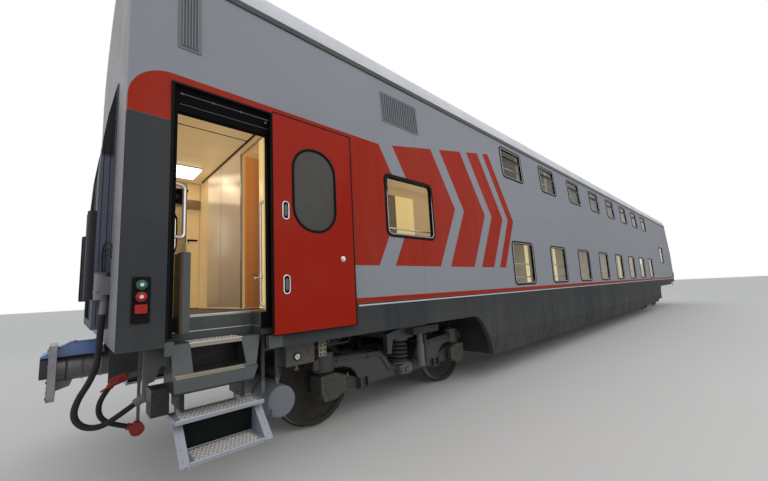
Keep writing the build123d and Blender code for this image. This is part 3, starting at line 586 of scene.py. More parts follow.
@dataclass(frozen=True)
class Wheel:
    """Rolled steel wheel: a bright tread and a dusty, stained web."""

    name: str = "wheel_rolled_steel"
    dusty: RGB = (0.026, 0.024, 0.021)
    stained: RGB = (0.060, 0.052, 0.044)
    bright: RGB = (0.46, 0.45, 0.43)
    tread_y: float = 0.785
    tread_half: float = 0.048

    def material(self) -> bpy.types.Material:
        """Builds the finish."""
        s = Shader(self.name)
        tread = abs(abs(s.y) - self.tread_y).below(self.tread_half, 0.006)
        rim = tread * abs(s.facing(1)).below(0.35, 0.1)
        cloud = s.noise(8.0, detail=5)
        tone = s.mix(cloud.above(0.5, 0.2) * 0.6, self.dusty, self.stained)
        return s.finish(Base_Color=s.mix(rim, tone, self.bright), Metallic=rim, Roughness=0.72 - 0.4 * rim,
                        Specular_IOR_Level=0.2, Normal=s.bump(cloud, 0.001, 0.4))


@dataclass(frozen=True)
class FloorCover:
    """Sheet floor covering with a speckle."""

    name: str
    colour: RGB
    speckle: RGB = (0.4, 0.38, 0.35)

    def material(self) -> bpy.types.Material:
        """Builds the finish."""
        s = Shader(self.name)
        speck = s.noise(260.0, detail=2)
        return s.finish(Base_Color=s.mix(speck.above(0.62, 0.04) * 0.4, self.colour, self.speckle),
                        Roughness=0.55 + 0.1 * speck, Normal=s.bump(speck, 0.0005, 0.4))


@dataclass(frozen=True)
class Portal:
    """Gangway portal: slate side plates, and black rubber on the rest."""

    name: str = "gangway_rubber"
    rubber: RGB = (0.012, 0.013, 0.017)
    plate: RGB = (0.096, 0.113, 0.158)
    half: float = 0.797
    top: float = 2.85
    depth: float = 0.104

    def material(self) -> bpy.types.Material:
        """Builds the finish."""
        s = Shader(self.name)
        cloud = s.noise(3.0, (1.0, 1.0, 0.3), detail=5)
        side = abs(s.y).above(self.half, EDGE) * s.height.below(self.top, 0.02)
        side = side * abs(s.x).below(HALF + self.depth, EDGE)
        return s.finish(Base_Color=s.shade(s.mix(side, self.rubber, self.plate), 0.75 + 0.5 * cloud),
                        Roughness=0.5 - 0.1 * side, Specular_IOR_Level=0.25,
                        Normal=s.bump(s.noise(160.0, detail=2), 0.0008, 0.4))


@dataclass(frozen=True)
class Casting:
    """Coupler casting: pale face plate, rubbed shank and blue-grey hood."""

    name: str = "coupler_casting"
    shank: RGB = (0.17, 0.165, 0.17)
    plate: RGB = (0.30, 0.29, 0.315)
    hood: RGB = (0.115, 0.185, 0.420)
    nose: RGB = (0.020, 0.020, 0.022)
    plate_span: Pair = (13.050, 13.107)
    hood_foot: float = 1.078

    def material(self) -> bpy.types.Material:
        """Builds the finish."""
        s = Shader(self.name)
        x, z = abs(s.x), s.height
        cloud = s.noise(7.0, detail=6, rough=0.65)
        plate = x.between(*self.plate_span, 0.001)
        hood = z.above(self.hood_foot, 0.001) * (1 - plate)
        nose = x.above(self.plate_span[1], 0.001) * (1 - hood)
        tone = s.mix(nose, s.mix(hood, s.mix(plate, self.shank, self.plate), self.hood), self.nose)
        return s.finish(Base_Color=s.shade(tone, 0.7 + 0.6 * cloud), Roughness=0.26 + 0.30 * cloud,
                        Metallic=0.6 * (1 - plate) * (1 - nose) * (1 - 0.8 * hood), Normal=s.bump(cloud, 0.003, 0.5))


class Finish(Enum):
    """Every finish on the coach."""

    LIVERY = Livery()
    ROOF = Enamel("roof_enamel", (0.60, 0.615, 0.66), roughness=0.45, dust=0.22)
    # Gutter colour is painted shade: the dark of the rain channel's shadow
    GUTTER = Enamel("gutter_painted_shade", (0.050, 0.056, 0.060), dust=0.2)
    END = Enamel("end_enamel", (0.165, 0.168, 0.185), dust=0.2, other=(0.60, 0.47, 0.29), other_limit=12.70)
    LEAF_RED = Enamel("door_enamel", (0.308, 0.014, 0.005), roughness=0.34, coat=0.12, dust=0.02, gloss=0.0,
                      other=(0.60, 0.48, 0.30), other_axis="y", other_limit=1.534)
    PORTAL = Rubber("portal_black", (0.004, 0.004, 0.005), roughness=0.6, bloom=0.008, shine=0.02)
    SEAL = Rubber("seal_rubber", (0.007, 0.007, 0.008), bloom=0.014, shine=0.05)
    GANGWAY = Portal()
    HOSE = Rubber("hose_rubber", (0.003, 0.003, 0.0035), roughness=0.5, bloom=0.006, shine=0.06)
    GLASS = Glass("window_glazing")
    UNDER = Grimed("underframe_paint", (0.050, 0.052, 0.055), dust=0.45)
    BOGIE = Grimed("bogie_paint", (0.031, 0.030, 0.026))
    SPRING = Grimed("spring_paint", (0.030, 0.030, 0.031), dust=0.3, roughness=0.42)
    BOX = Grimed("axle_box_paint", (0.060, 0.058, 0.050), dust=0.35)
    COUPLER = Casting()
    VENT = Enamel("grille_enamel", (0.165, 0.172, 0.196), roughness=0.42, dust=0.2)
    TANK = Enamel("air_gear_enamel", (0.062, 0.061, 0.058), roughness=0.42, dust=0.2, other=(0.155, 0.168, 0.200),
                  other_limit=9.0, other_axis="y", other_top=0.75)
    CLAMP = Enamel("clamp_enamel", (0.110, 0.115, 0.130), roughness=0.42, dust=0.2)
    GLAND = Enamel("gland_enamel", (0.165, 0.170, 0.185), roughness=0.3, coat=0.2, dust=0.3)
    DAMPER = Enamel("damper_enamel", (0.034, 0.034, 0.034), roughness=0.42, dust=0.3, other=(0.115, 0.125, 0.140),
                    other_axis="y", other_limit=9.0, other_top=0.90)
    FASTENER = Grimed("fastener_steel", (0.13, 0.13, 0.125), dust=0.35, roughness=0.42)
    PIPE = Grimed("pipe_paint", (0.105, 0.100, 0.080), dust=0.3, roughness=0.45)
    COCK = Enamel("cock_enamel", (0.30, 0.022, 0.013), roughness=0.4, dust=0.2, other=(0.13, 0.13, 0.13),
                  other_limit=12.575)
    HEAD = Enamel("hose_head_enamel", (0.30, 0.022, 0.013), roughness=0.4, dust=0.2)
    # Interior panels and veneer: their glow is painted lamplight, dimmed above a height as painted shade
    CEILING = Laminate("ceiling_panel", (0.66, 0.50, 0.27), (0.60, 0.43, 0.20), glow=0.40, painted_light_top=3.6)
    WALL = Laminate("wall_laminate", (0.20, 0.150, 0.065), (0.13, 0.100, 0.045), glow=0.60, joint=0.915,
                    door=(0.95, 0.78, 0.40), painted_light_top=3.2)
    PARTITION = Laminate("partition_laminate", (0.57, 0.41, 0.195), (0.47, 0.31, 0.130), glow=0.50, painted_light_top=3.5)
    LIT = Laminate("lit_panel", (0.86, 0.68, 0.28), (0.76, 0.56, 0.21), glow=0.66)
    BROWN = Laminate("brown_laminate", (0.17, 0.105, 0.040), (0.12, 0.07, 0.028), glow=0.30)
    WOOD = Veneer("door_veneer", glow=0.50)
    BERTH = Upholstery("berth_cover")
    FLOOR = FloorCover("floor_cover", (0.105, 0.095, 0.088))
    # Step enamel's other colour, near black below the top tread, is painted shade under the tread
    STEP = Enamel("step_enamel", (0.078, 0.090, 0.096), roughness=0.34, coat=0.10, dust=0.15,
                  other=(0.012, 0.015, 0.014), other_axis="y", other_limit=2.143, other_lean=0.571, other_top=1.184)
    SILVER = BareMetal("step_aluminium", (0.29, 0.315, 0.36), roughness=0.34, grain=(1.0, 40.0, 40.0), metallic=0.2)
    TREADPLATE = Enamel("tread_plate", (0.42, 0.41, 0.39), roughness=0.45, dust=0.15)
    WORN = Enamel("worn_tread", (0.29, 0.265, 0.205), roughness=0.45, dust=0.15)
    # Lozenges are coloured near white as a painted highlight on their raised faces
    LOZENGE = Enamel("tread_lozenges_highlight", (0.92, 0.90, 0.86), roughness=0.35, dust=0.03)
    RISER = Enamel("riser_enamel", (0.072, 0.084, 0.078), roughness=0.4, dust=0.15)
    # Near-black riser colour is painted shade of the gap behind the sliding step's lower tread
    HOLE = Enamel("riser_painted_shade", (0.007, 0.011, 0.010), roughness=0.5, coat=0.0, gloss=0.03, dust=0.02)
    FLAP = Enamel("flap_enamel", (0.060, 0.040, 0.026), roughness=0.4, other=(0.085, 0.090, 0.098), other_limit=12.340)
    TREAD = FloorCover("tread_cover", (0.085, 0.055, 0.036))
    STEEL = BareMetal("rail_steel", (0.42, 0.42, 0.43), roughness=0.22, grain=(40.0, 40.0, 1.0))
    # Brushed panel: its glow and bands are a painted sheen and painted lamp reflections
    BRUSHED = BareMetal("brushed_panel", (0.55, 0.43, 0.285), roughness=0.28, grain=(1.0, 1.0, 70.0), metallic=0.35,
                        glow=0.62, bands=((2.78, 3.01), (3.085, 3.175)))
    TRIM = BareMetal("rub_strip", (0.50, 0.52, 0.54), roughness=0.3, metallic=0.6)
    BEAD = BareMetal("window_bead", (0.34, 0.35, 0.35), roughness=0.35, metallic=0.5)
    LAMP = Rubber("lamp_bezel", (0.005, 0.005, 0.006), roughness=0.4, bloom=0.008, shine=0.08)
    SMOKED = Rubber("smoked_panel", (0.040, 0.037, 0.031), roughness=0.18, bloom=0.05, shine=0.2)
    DIAL = Enamel("dial_enamel", (0.62, 0.63, 0.60), roughness=0.3, dust=0.05)
    GREEN = Lens("lens_green", (0.020, 0.095, 0.060), glow=0.10)
    RED = Lens("lens_red", (0.30, 0.008, 0.006), glow=0.10)
    BULB = Lens("lens_bulb", (0.60, 0.63, 0.60), glow=0.1)
    WHITE = Lens("ceiling_lamp", (1.0, 0.93, 0.80), glow=4.5, flutes=0.02)
    WHEEL = Wheel()

    def material(self) -> bpy.types.Material:
        """The finish's material, built once."""
        return bpy.data.materials.get(self.value.name) or self.value.material()


# Meshes
def in_row(x: float, y: float, z: float) -> Point:
    """A place that is given in the row frame."""
    return (x, y, z)


class Shape:
    """A mesh built up from boxes, rods, prisms and tubes, whose points go through a place function."""

    def __init__(self, spot: Callable[[float, float, float], Point] = in_row, side: int = 1) -> None:
        """Starts an empty mesh, with y counted towards a side."""
        self.mesh = bmesh.new()
        self.spot = spot
        self.side = side

    def place(self, point: Sequence[float]) -> Vector:
        """Row place of a point."""
        x, y, z = point
        return Vector(self.spot(x, self.side * y, z))

    def faces(self, points: Sequence[Vector], rings: Sequence[Sequence[int]]) -> None:
        """Adds points and the faces between them, by number."""
        made = [self.mesh.verts.new(p) for p in points]
        for ring in rings:
            self.mesh.faces.new([made[i] for i in ring])

    def box(self, low: Point, high: Point) -> None:
        """Adds a box between two corners."""
        corners = itertools.product(*(sorted(pair) for pair in zip(self.place(low), self.place(high))))
        self.faces([Vector(c) for c in corners],
                   [(0, 1, 3, 2), (4, 6, 7, 5), (0, 4, 5, 1), (2, 3, 7, 6), (0, 2, 6, 4), (1, 5, 7, 3)])

    def boxes(self, *rows: tuple[float, ...]) -> "Shape":
        """Adds a box for each row of six numbers, two corners, and returns this shape."""
        for row in rows:
            self.box(row[:3], row[3:])
        return self

    def prism(self, outline: Sequence[Pair], axis: str, low: float, high: float) -> None:
        """Adds an outline drawn out along an axis.

        Args:
            outline: its points in the two other axes, in order.
            axis: x, y or z.
            low: start along the axis.
            high: end along the axis.
        """
        order = {"x": lambda u, v, w: (w, u, v), "y": lambda u, v, w: (u, w, v), "z": lambda u, v, w: (u, v, w)}[axis]
        n = len(outline)
        points = [self.place(order(u, v, w)) for w in (low, high) for u, v in outline]
        sides = [(i, (i + 1) % n, n + (i + 1) % n, n + i) for i in range(n)]
        self.faces(points, [tuple(range(n))[::-1], tuple(range(n, 2 * n)), *sides])

    def rod(self, start: Point, end: Point, radius: float, sides: int = 16, tip: float | None = None) -> None:
        """Adds a round bar, or a cone if its tip has another radius."""
        a, b = self.place(start), self.place(end)
        turn = (b - a).to_track_quat("Z", "Y").to_matrix()
        points = [place + turn @ Vector((*on_circle(i, sides, r), 0))
                  for place, r in ((a, radius), (b, radius if tip is None else tip)) for i in range(sides)]
        rims = [tuple(range(sides))[::-1], tuple(range(sides, 2 * sides))]
        self.faces(points, rims + [(i, (i + 1) % sides, sides + (i + 1) % sides, sides + i) for i in range(sides)])

    def turned(self, centre: Point, axis: Point, profile: Sequence[Pair], sides: int = 32) -> None:
        """Adds a turned form, closed at both ends on its axis.

        Args:
            centre: where the profile's distances start.
            axis: direction that they are measured in.
            profile: pairs of distance along the axis and radius.
            sides: faces round the axis.
        """
        turn = Vector(axis).to_track_quat("Z", "Y").to_matrix()
        middle = self.place(centre)
        rings = []
        for along, radius in ((profile[0][0], 0.0), *profile, (profile[-1][0], 0.0)):
            count = sides if radius else 1
            rings.append([self.mesh.verts.new(middle + turn @ Vector((*on_circle(i, sides, radius), along)))
                          for i in range(count)])
        for low, high in zip(rings, rings[1:]):
            for i in range(sides if len(low) + len(high) > 2 else 0):
                j = (i + 1) % sides
                ring = [low[i % len(low)], low[j % len(low)], high[j % len(high)], high[i % len(high)]]
                self.mesh.faces.new(list(dict.fromkeys(ring)))

    def tube(self, path: Sequence[Point], radius: float, sides: int = 8, closed: bool = False,
             flat: float = 1.0) -> None:
        """Adds a tube along points.

        Args:
            path: its centreline.
            radius: its radius.
            sides: faces round it.
            closed: whether the last point joins the first.
            flat: width of the section over its height.
        """
        line = [self.place(p) for p in path]
        n = len(line)
        rings = []
        side = None
        for i, p in enumerate(line):
            before = line[(i - 1) % n] if closed or i else p
            after = line[(i + 1) % n] if closed or i < n - 1 else p
            ahead = (after - before).normalized()
            side = side or ahead.orthogonal().normalized()
            side = (side - ahead * side.dot(ahead)).normalized()
            other = ahead.cross(side)
            spokes = [on_circle(k, sides, radius) for k in range(sides)]
            rings.append([self.mesh.verts.new(p + side * u * flat + other * v) for u, v in spokes])
        for low, high in zip(rings, rings[1:] + rings[:1] * closed):
            for k in range(sides):
                j = (k + 1) % sides
                self.mesh.faces.new((low[k], low[j], high[j], high[k]))
        if not closed:
            self.mesh.faces.new(rings[0][::-1])
            self.mesh.faces.new(rings[-1])

    def loop(self, path: Sequence[Point], radius: float, sides: int = 8, flat: float = 1.0) -> None:
        """Adds a tube whose last point joins the first."""
        self.tube(path, radius, sides, True, flat)

    def bar(self, start: float, end: float, y: float, z: float, radius: float, sides: int = 8) -> None:
        """Adds a tube that lies along the coach."""
        self.tube([(start, y, z), (end, y, z)], radius, sides)

    def post(self, x: float, y: float, foot: float, head: float, radius: float) -> None:
        """Adds a tube that stands upright."""
        self.tube([(x, y, foot), (x, y, head)], radius)

    def piece(self, name: str, finish: Finish, body: str = COACH, bevel: float = 0.0,
              smooth: float = 35.0) -> bpy.types.Object:
        """Turns the shape into a piece that rides on a body.

        Args:
            name: the piece's name.
            finish: what it is finished in.
            body: the body that it moves with.
            bevel: width of its rounded edges, or 0.
            smooth: angle in degrees under which faces blend into each other.

        Returns:
            The piece.
        """
        bmesh.ops.remove_doubles(self.mesh, verts=self.mesh.verts, dist=1e-6)
        if bevel:
            sharp = [e for e in self.mesh.edges if len(e.link_faces) == 2 and e.calc_face_angle(0) > 0.6]
            bmesh.ops.bevel(self.mesh, geom=sharp, offset=bevel, segments=2, affect="EDGES", clamp_overlap=True,
                            profile=0.5)
        return dress(name, self.data(name), finish, body, smooth)

    def data(self, name: str) -> bpy.types.Mesh:
        """Turns the shape into a plain mesh."""
        bmesh.ops.recalc_face_normals(self.mesh, faces=self.mesh.faces)
        data = bpy.data.meshes.new(name)
        self.mesh.to_mesh(data)
        self.mesh.free()
        return data


def each_side(*shapes: Shape) -> Iterator[int]:
    """Gives the right side (-1), then the left (1), while the shapes count y towards it."""
    for side in SIDES:
        for shape in shapes:
            shape.side = side
        yield side
    for shape in shapes:
        shape.side = 1


def on_circle(number: int, count: int, radius: float) -> Pair:
    """One of equally spaced points round the origin."""
    angle = 2 * math.pi * number / count
    return (math.cos(angle) * radius, math.sin(angle) * radius)


def circle(centre: Point, radius: float, across: bool = False, count: int = 36) -> list[Point]:
    """Points round an upright circle that lies along the coach, or across it."""
    x, y, z = centre
    spokes = [on_circle(k, count, radius) for k in range(count)]
    return [(x, y + u, z + v) if across else (x + u, y, z + v) for u, v in spokes]


def rounded(width: float, height: float, radius: float, steps: int = 6, centre: Pair = (0.0, 0.0)) -> list[Pair]:
    """Outline of a rectangle with round corners, about a centre."""
    points = []
    for cx, cy, start in ((1, 1, 0), (-1, 1, 90), (-1, -1, 180), (1, -1, 270)):
        for i in range(steps + 1):
            angle = math.radians(start + 90 * i / steps)
            points.append((centre[0] + cx * (width / 2 - radius) + math.cos(angle) * radius,
                           centre[1] + cy * (height / 2 - radius) + math.sin(angle) * radius))
    return points


def upright(outline: Iterable[Pair], y: float) -> list[Point]:
    """Points of an outline that stands along the coach."""
    return [(u, y, v) for u, v in outline]


def linked(name: str, data: bpy.types.ID) -> bpy.types.Object:
    """Makes an object of some data and puts it in the scene."""
    made = bpy.data.objects.new(name, data)
    bpy.context.scene.collection.objects.link(made)
    return made


def dress(name: str, data: bpy.types.Mesh, finish: Finish, body: str, smooth: float = 35.0) -> bpy.types.Object:
    """Makes a piece of a mesh.

    Args:
        name: the piece's name.
        data: its mesh, in the row frame.
        finish: what it is finished in.
        body: the body that it moves with.
        smooth: angle in degrees under which faces blend into each other.

    Returns:
        The piece.
    """
    data.materials.clear()
    data.materials.append(finish.material())
    data.shade_smooth()
    data.set_sharp_from_angle(angle=math.radians(smooth))
    piece = linked(name, data)
    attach(piece, body)
    LOG.info("%s: %d faces, on %s", name, len(data.polygons), body)
    return piece


class Growth:
    """A geometry tree with named inputs that is grown once into a plain mesh."""

    def __init__(self, name: str) -> None:
        """Makes an empty tree with a geometry input and output."""
        self.tree = bpy.data.node_groups.new(name, "GeometryNodeTree")
        self.tree.interface.new_socket("Geometry", in_out="INPUT", socket_type="NodeSocketGeometry")
        self.tree.interface.new_socket("Geometry", in_out="OUTPUT", socket_type="NodeSocketGeometry")
        self.given = self.tree.nodes.new("NodeGroupInput")
        self.result = self.tree.nodes.new("NodeGroupOutput")

    def ask(self, name: str, kind: str = "Float") -> bpy.types.NodeSocket:
        """Adds a named input and returns its socket in the tree."""
        self.tree.interface.new_socket(name, in_out="INPUT", socket_type="NodeSocket" + kind)
        return self.given.outputs[name]

    def add(self, kind: str, sockets: dict[Any, Any], output: Any = 0, **settings: Any) -> Any:
        """Adds one node and returns one of its outputs."""
        node = self.tree.nodes.new(kind)
        for key, value in settings.items():
            setattr(node, key, value)
        for key, value in sockets.items():
            if isinstance(value, bpy.types.NodeSocket):
                self.tree.links.new(value, node.inputs[key])
            else:
                node.inputs[key].default_value = value
        return node.outputs[output]

    def close(self, geometry: bpy.types.NodeSocket) -> None:
        """Ends the tree in Realize Instances and Set Material."""
        real = self.add("GeometryNodeRealizeInstances", {0: geometry})
        done = self.add("GeometryNodeSetMaterial", {"Geometry": real, "Material": self.ask("Finish", "Material")})
        self.tree.links.new(done, self.result.inputs[0])

    def grow(self, name: str, base: bpy.types.Mesh, finish: Finish, **sizes: Any) -> bpy.types.Mesh:
        """Grows the tree on a mesh.

        Args:
            name: name of the mesh that it makes.
            base: mesh that the tree starts from.
            finish: material of the result.
            sizes: value of each named input.

        Returns:
            The plain mesh.
        """
        carrier = linked(name + ".base", base)
        modifier = carrier.modifiers.new("growth", "NODES")
        modifier.node_group = self.tree
        values = sizes | {"Finish": finish.material()}
        for item in self.tree.interface.items_tree:
            if item.item_type == "SOCKET" and item.in_out == "INPUT" and item.name in values:
                modifier[item.identifier] = values[item.name]
        graph = bpy.context.evaluated_depsgraph_get()
        data = bpy.data.meshes.new_from_object(carrier.evaluated_get(graph))
        data.name = name
        carrier.modifiers.remove(modifier)
        bpy.data.objects.remove(carrier)
        return data


class Studs(Growth):
    """Copies of one small form on points, each turned the way its point faces."""

    def __init__(self) -> None:
        """Builds the tree."""
        super().__init__("studs")
        form = self.add("GeometryNodeObjectInfo", {"Object": self.ask("Item", "Object")}, "Geometry")
        towards = self.add("GeometryNodeInputNamedAttribute", {"Name": "towards"}, data_type="FLOAT_VECTOR")
        turn = self.add("FunctionNodeAlignRotationToVector", {"Vector": towards}, axis="Z")
        self.close(self.add("GeometryNodeInstanceOnPoints",
                            {"Points": self.given.outputs[0], "Instance": form, "Rotation": turn}))

    def set(self, name: str, form: Shape, places: Stands, finish: Finish, body: str = COACH) -> None:
        """Sets copies of a form on a body.

        Args:
            name: name of the piece that holds every copy.
            form: the form, drawn round the origin and facing +Z.
            places: place and facing of each copy.
            finish: what they are finished in.
            body: the body that they ride on.
        """
        item = linked(name + ".item", form.data(name + ".item"))
        base = bpy.data.meshes.new("places")
        base.from_pydata([Vector(p) for p, _ in places], [], [])
        towards = base.attributes.new("towards", "FLOAT_VECTOR", "POINT")
        towards.data.foreach_set("vector", [c for _, facing in places for c in facing])
        grown = self.grow(name, base, finish, Item=item)
        bpy.data.objects.remove(item)
        dress(name, grown, finish, body)


class Coil(Growth):
    """A coil spring: a round wire along a spiral."""

    def __init__(self) -> None:
        """Builds the tree."""
        super().__init__("coil")
        radius, wire = self.ask("Radius"), self.ask("Wire")
        line = self.add("GeometryNodeCurveSpiral",
                        {"Resolution": 20, "Rotations": self.ask("Turns"), "Start Radius": radius,
                         "End Radius": radius, "Height": self.ask("Height")})
        section = self.add("GeometryNodeCurvePrimitiveCircle", {"Resolution": 10, "Radius": wire})
        bar = self.add("GeometryNodeCurveToMesh", {"Curve": line, "Profile Curve": section, "Fill Caps": True})
        self.close(self.add("GeometryNodeTransform", {"Geometry": bar, "Translation": self.ask("Foot", "Vector")}))


class Slats(Growth):
    """A row of equal slats at a pitch."""

    def __init__(self) -> None:
        """Builds the tree."""
        super().__init__("slats")
        row = self.add("GeometryNodeMeshLine",
                       {"Count": self.ask("Count", "Int"), "Start Location": self.ask("Start", "Vector"),
                        "Offset": self.ask("Pitch", "Vector")}, mode="OFFSET")
        slat = self.add("GeometryNodeMeshCube", {"Size": self.ask("Slat", "Vector")})
        self.close(self.add("GeometryNodeInstanceOnPoints", {"Points": row, "Instance": slat}))


def bolt(radius: float = 0.009, height: float = 0.008) -> Shape:
    """Six-sided bolt head on a washer, facing +Z."""
    shape = Shape()
    shape.rod((0, 0, 0), (0, 0, height * 0.25), radius * 1.35, 12)
    shape.rod((0, 0, height * 0.25), (0, 0, height), radius, 6, radius * 0.92)
    return shape


# Groups of the coach
WEAR: dict[str, Finish] = {name: finish for finish, names in {
    Finish.LIVERY: "side_wall door_panel", Finish.SEAL: "window_frames", Finish.GLASS: "window_panes",
    Finish.ROOF: "roof", Finish.GUTTER: "gutters", Finish.END: "end_wall", Finish.GANGWAY: "gangway",
    Finish.UNDER: "end_frame well_frame", Finish.FLOOR: "end_floors deck_floors", Finish.CEILING: "ceilings",
    Finish.PARTITION: "cross_walls end_partitions", Finish.WALL: "corridor_walls",
    Finish.BERTH: "compartment_fittings", Finish.PORTAL: "door_surrounds", Finish.LEAF_RED: "door_leaf",
    Finish.STEP: "entry_steps", Finish.STEEL: "handrails", Finish.LAMP: "lamp_panels", Finish.VENT: "vent_grilles",
    Finish.TANK: "air_gear", Finish.GLAND: "end_sockets", Finish.COCK: "brake_cocks",
    Finish.HOSE: "jumper_hose brake_hose", Finish.HEAD: "brake_hose_head", Finish.WOOD: "inner_door",
    Finish.BRUSHED: "end_door", Finish.SILVER: "slide_step", Finish.FLAP: "floor_flap", Finish.COUPLER: "coupler",
    Finish.BOGIE: "bogie_frame bogie_bolster brake_gear", Finish.SPRING: "bogie_springs", Finish.BOX: "axle_boxes",
    Finish.DAMPER: "dampers", Finish.WHEEL: "wheelset"}.items() for name in names.split()}


@dataclass
class Frame:
    """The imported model's nodes."""

    nodes: dict[str, bpy.types.Object]

    def build(self) -> None:
        """Gives every node the finish of the longest name in the table that its own starts with."""
        for name, node in self.nodes.items():
            finish = WEAR[max((key for key in WEAR if name.startswith(key)), key=len)]
            node.data.materials.clear()
            node.data.materials.append(finish.material())
            LOG.info("%s wears %s", name, finish.name)


@dataclass
class Group:
    """Pieces placed by the distance from a start towards the coach's middle, y and height above the rails."""

    letter: str = "a"
    sign: int = -1
    start: float = HALF

    def spot(self, x: float, y: float, z: float) -> Point:
        """Row place of such a distance, y and height."""
        return (self.sign * (self.start - x), y, up(z))

    def shapes(self, count: int, side: int = 1) -> list[Shape]:
        """Empty shapes that are drawn by such places, with y counted towards a side."""
        return [Shape(self.spot, side) for _ in range(count)]

    def boxed(self, name: str, finish: Finish, bevel: float, *rows: tuple[float, ...]) -> None:
        """Makes a piece of boxes, each a row of two corners."""
        Shape(self.spot).boxes(*rows).piece(name, finish, bevel=bevel)


@dataclass
class Bogie(Group):
    """Running gear detail of one bogie: coil springs, spring seats, covers, welds, pipes and brakes."""

    start: float = 9.5
    axle: float = 1.25
    axle_z: float = 0.4785
    beam_y: float = 1.0
    beam_half: float = 0.09
    spring: Pair = (0.520, 0.862)
    coils: tuple[Point, ...] = ((0.132, 0.021, 5.4), (0.0792, 0.01386, 7.6))
    cups: Outline = ((0.0, 0.172), (0.030, 0.172), (0.030, 0.160), (0.012, 0.158))
    buffers: Outline = ((0.0, 0.062), (0.020, 0.075), (0.040, 0.075), (0.060, 0.062))
    box_feet: Outline = ((0.0, 0.142), (0.014, 0.142), (0.014, 0.120), (0.004, 0.118))
    box_heads: Outline = ((0.0, 0.142), (0.012, 0.138), (0.018, 0.060), (0.034, 0.055))
    cover_face: float = 1.170
    cover_rim: Outline = ((-0.130, 0.130), (0.066, 0.145), (0.215, 0.093), (0.215, -0.068), (0.074, -0.135),
                                   (-0.086, -0.137), (-0.130, -0.053))
    cover_bolts: Outline = ((-0.130, 0.040), (0.215, 0.012), (-0.030, 0.138))
    cap: Outline = ((0.0, 0.080), (0.004, 0.078), (0.006, 0.070))
    arm: Outline = ((0.150, 0.545), (0.250, 0.530), (0.430, 0.458), (0.430, 0.385), (0.250, 0.400),
                             (0.150, 0.410))
    beam: Outline = (
        (0.0, 0.520), (0.190, 0.520), (0.243, 0.548), (0.280, 0.615), (0.320, 0.690), (0.400, 0.740), (1.380, 0.800),
        (1.430, 0.760), (1.430, 0.680), (1.010, 0.655), (0.900, 0.620), (0.830, 0.560), (0.790, 0.480),
        (0.790, 0.345), (0.650, 0.345), (0.590, 0.380), (0.0, 0.380))
    pipe: Outline = ((0.10, 0.478), (0.26, 0.490), (0.36, 0.640), (0.44, 0.705), (0.60, 0.722),
                              (1.20, 0.760))
    clips: Outline = ((1.1, 0.745), (0.62, 0.715), (0.15, 0.470))
    rib: Outline = ((0.004, 0.022), (0.012, 0.033), (0.019, 0.033))
    valve: Outline = ((-0.115, 0.500), (0.040, 0.530), (0.120, 0.520), (0.135, 0.400), (0.060, 0.372),
                               (-0.115, 0.392))
    valve_knob: Outline = ((0.0, 0.030), (0.030, 0.030), (0.034, 0.022))

    @property
    def body(self) -> str:
        """The CAD body that it rides on."""
        return f"bogie_{self.letter}"

    def springs(self) -> None:
        """Coil springs in place of the plain turned ones."""
        coil, empty, meshes = Coil(), bpy.data.meshes.new("coil_base"), []
        foot, head = self.spring
        rows = [(0.0, foot + wire, radius, wire, turns, head - foot - 2 * wire) for radius, wire, turns in self.coils]
        rows += [(way * self.axle, 0.606, 0.098, 0.009, 2.2, 0.040) for way in SIDES]
        for side, (u, z, radius, wire, turns, height) in itertools.product(SIDES, rows):
            meshes.append(coil.grow("coil", empty.copy(), Finish.SPRING, Radius=radius, Wire=wire, Turns=turns,
                                    Height=height, Foot=self.spot(u, side * self.beam_y, z)))
        shape = Shape()
        for data in meshes:
            shape.mesh.from_mesh(data)
            bpy.data.meshes.remove(data)
        piece = shape.piece(f"coil_springs_{self.letter}", Finish.SPRING, self.body, smooth=60)
        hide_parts(f"bogie_springs_{self.letter}")

    def seats(self) -> None:
        """Pressed cups that hold the ends of the springs, and rubber rings between them and the frame."""
        cups, rings = self.shapes(2)
        foot, head = self.spring
        for _ in each_side(cups, rings):
            cups.turned((0, self.beam_y, foot), UPWARD, self.cups, 36)
            cups.turned((0, self.beam_y, head), DOWNWARD, self.cups, 36)
            rings.turned((0, self.beam_y, head - 0.060), UPWARD, self.buffers, 24)
            for u in (-self.axle, self.axle):
                cups.turned((u, self.beam_y, 0.655), DOWNWARD, self.box_feet)
                cups.turned((u, self.beam_y, 0.845), UPWARD, self.box_heads)
        cups.piece(f"spring_seats_{self.letter}", Finish.BOGIE, self.body, smooth=30)
        rings.piece(f"spring_buffers_{self.letter}", Finish.SEAL, self.body)

    def covers(self) -> None:
        """Cover bolts, the rims of the covers and the webs of the guide arms."""
        caps, places = Shape(self.spot), []
        z, face = self.axle_z, self.cover_face
        for side in each_side(caps):
            for way in SIDES:
                x = way * self.axle
                places += [(self.spot(x - way * (u * 0.86 + 0.006), side * face, z + v * 0.84), (0, side, 0))
                           for u, v in self.cover_rim + self.cover_bolts]
                caps.loop(upright([(x - way * u, z + v) for u, v in self.cover_rim], face - 0.001), 0.005, 6)
                caps.turned((x, face, z), (0, side, 0), self.cap, 28)
                caps.loop(upright([(x - way * u, v) for u, v in self.arm], 1.062), 0.006, 6)
        Studs().set(f"cover_bolts_{self.letter}", bolt(), places, Finish.FASTENER, self.body)
        caps.piece(f"cover_rims_{self.letter}", Finish.BOX, self.body)

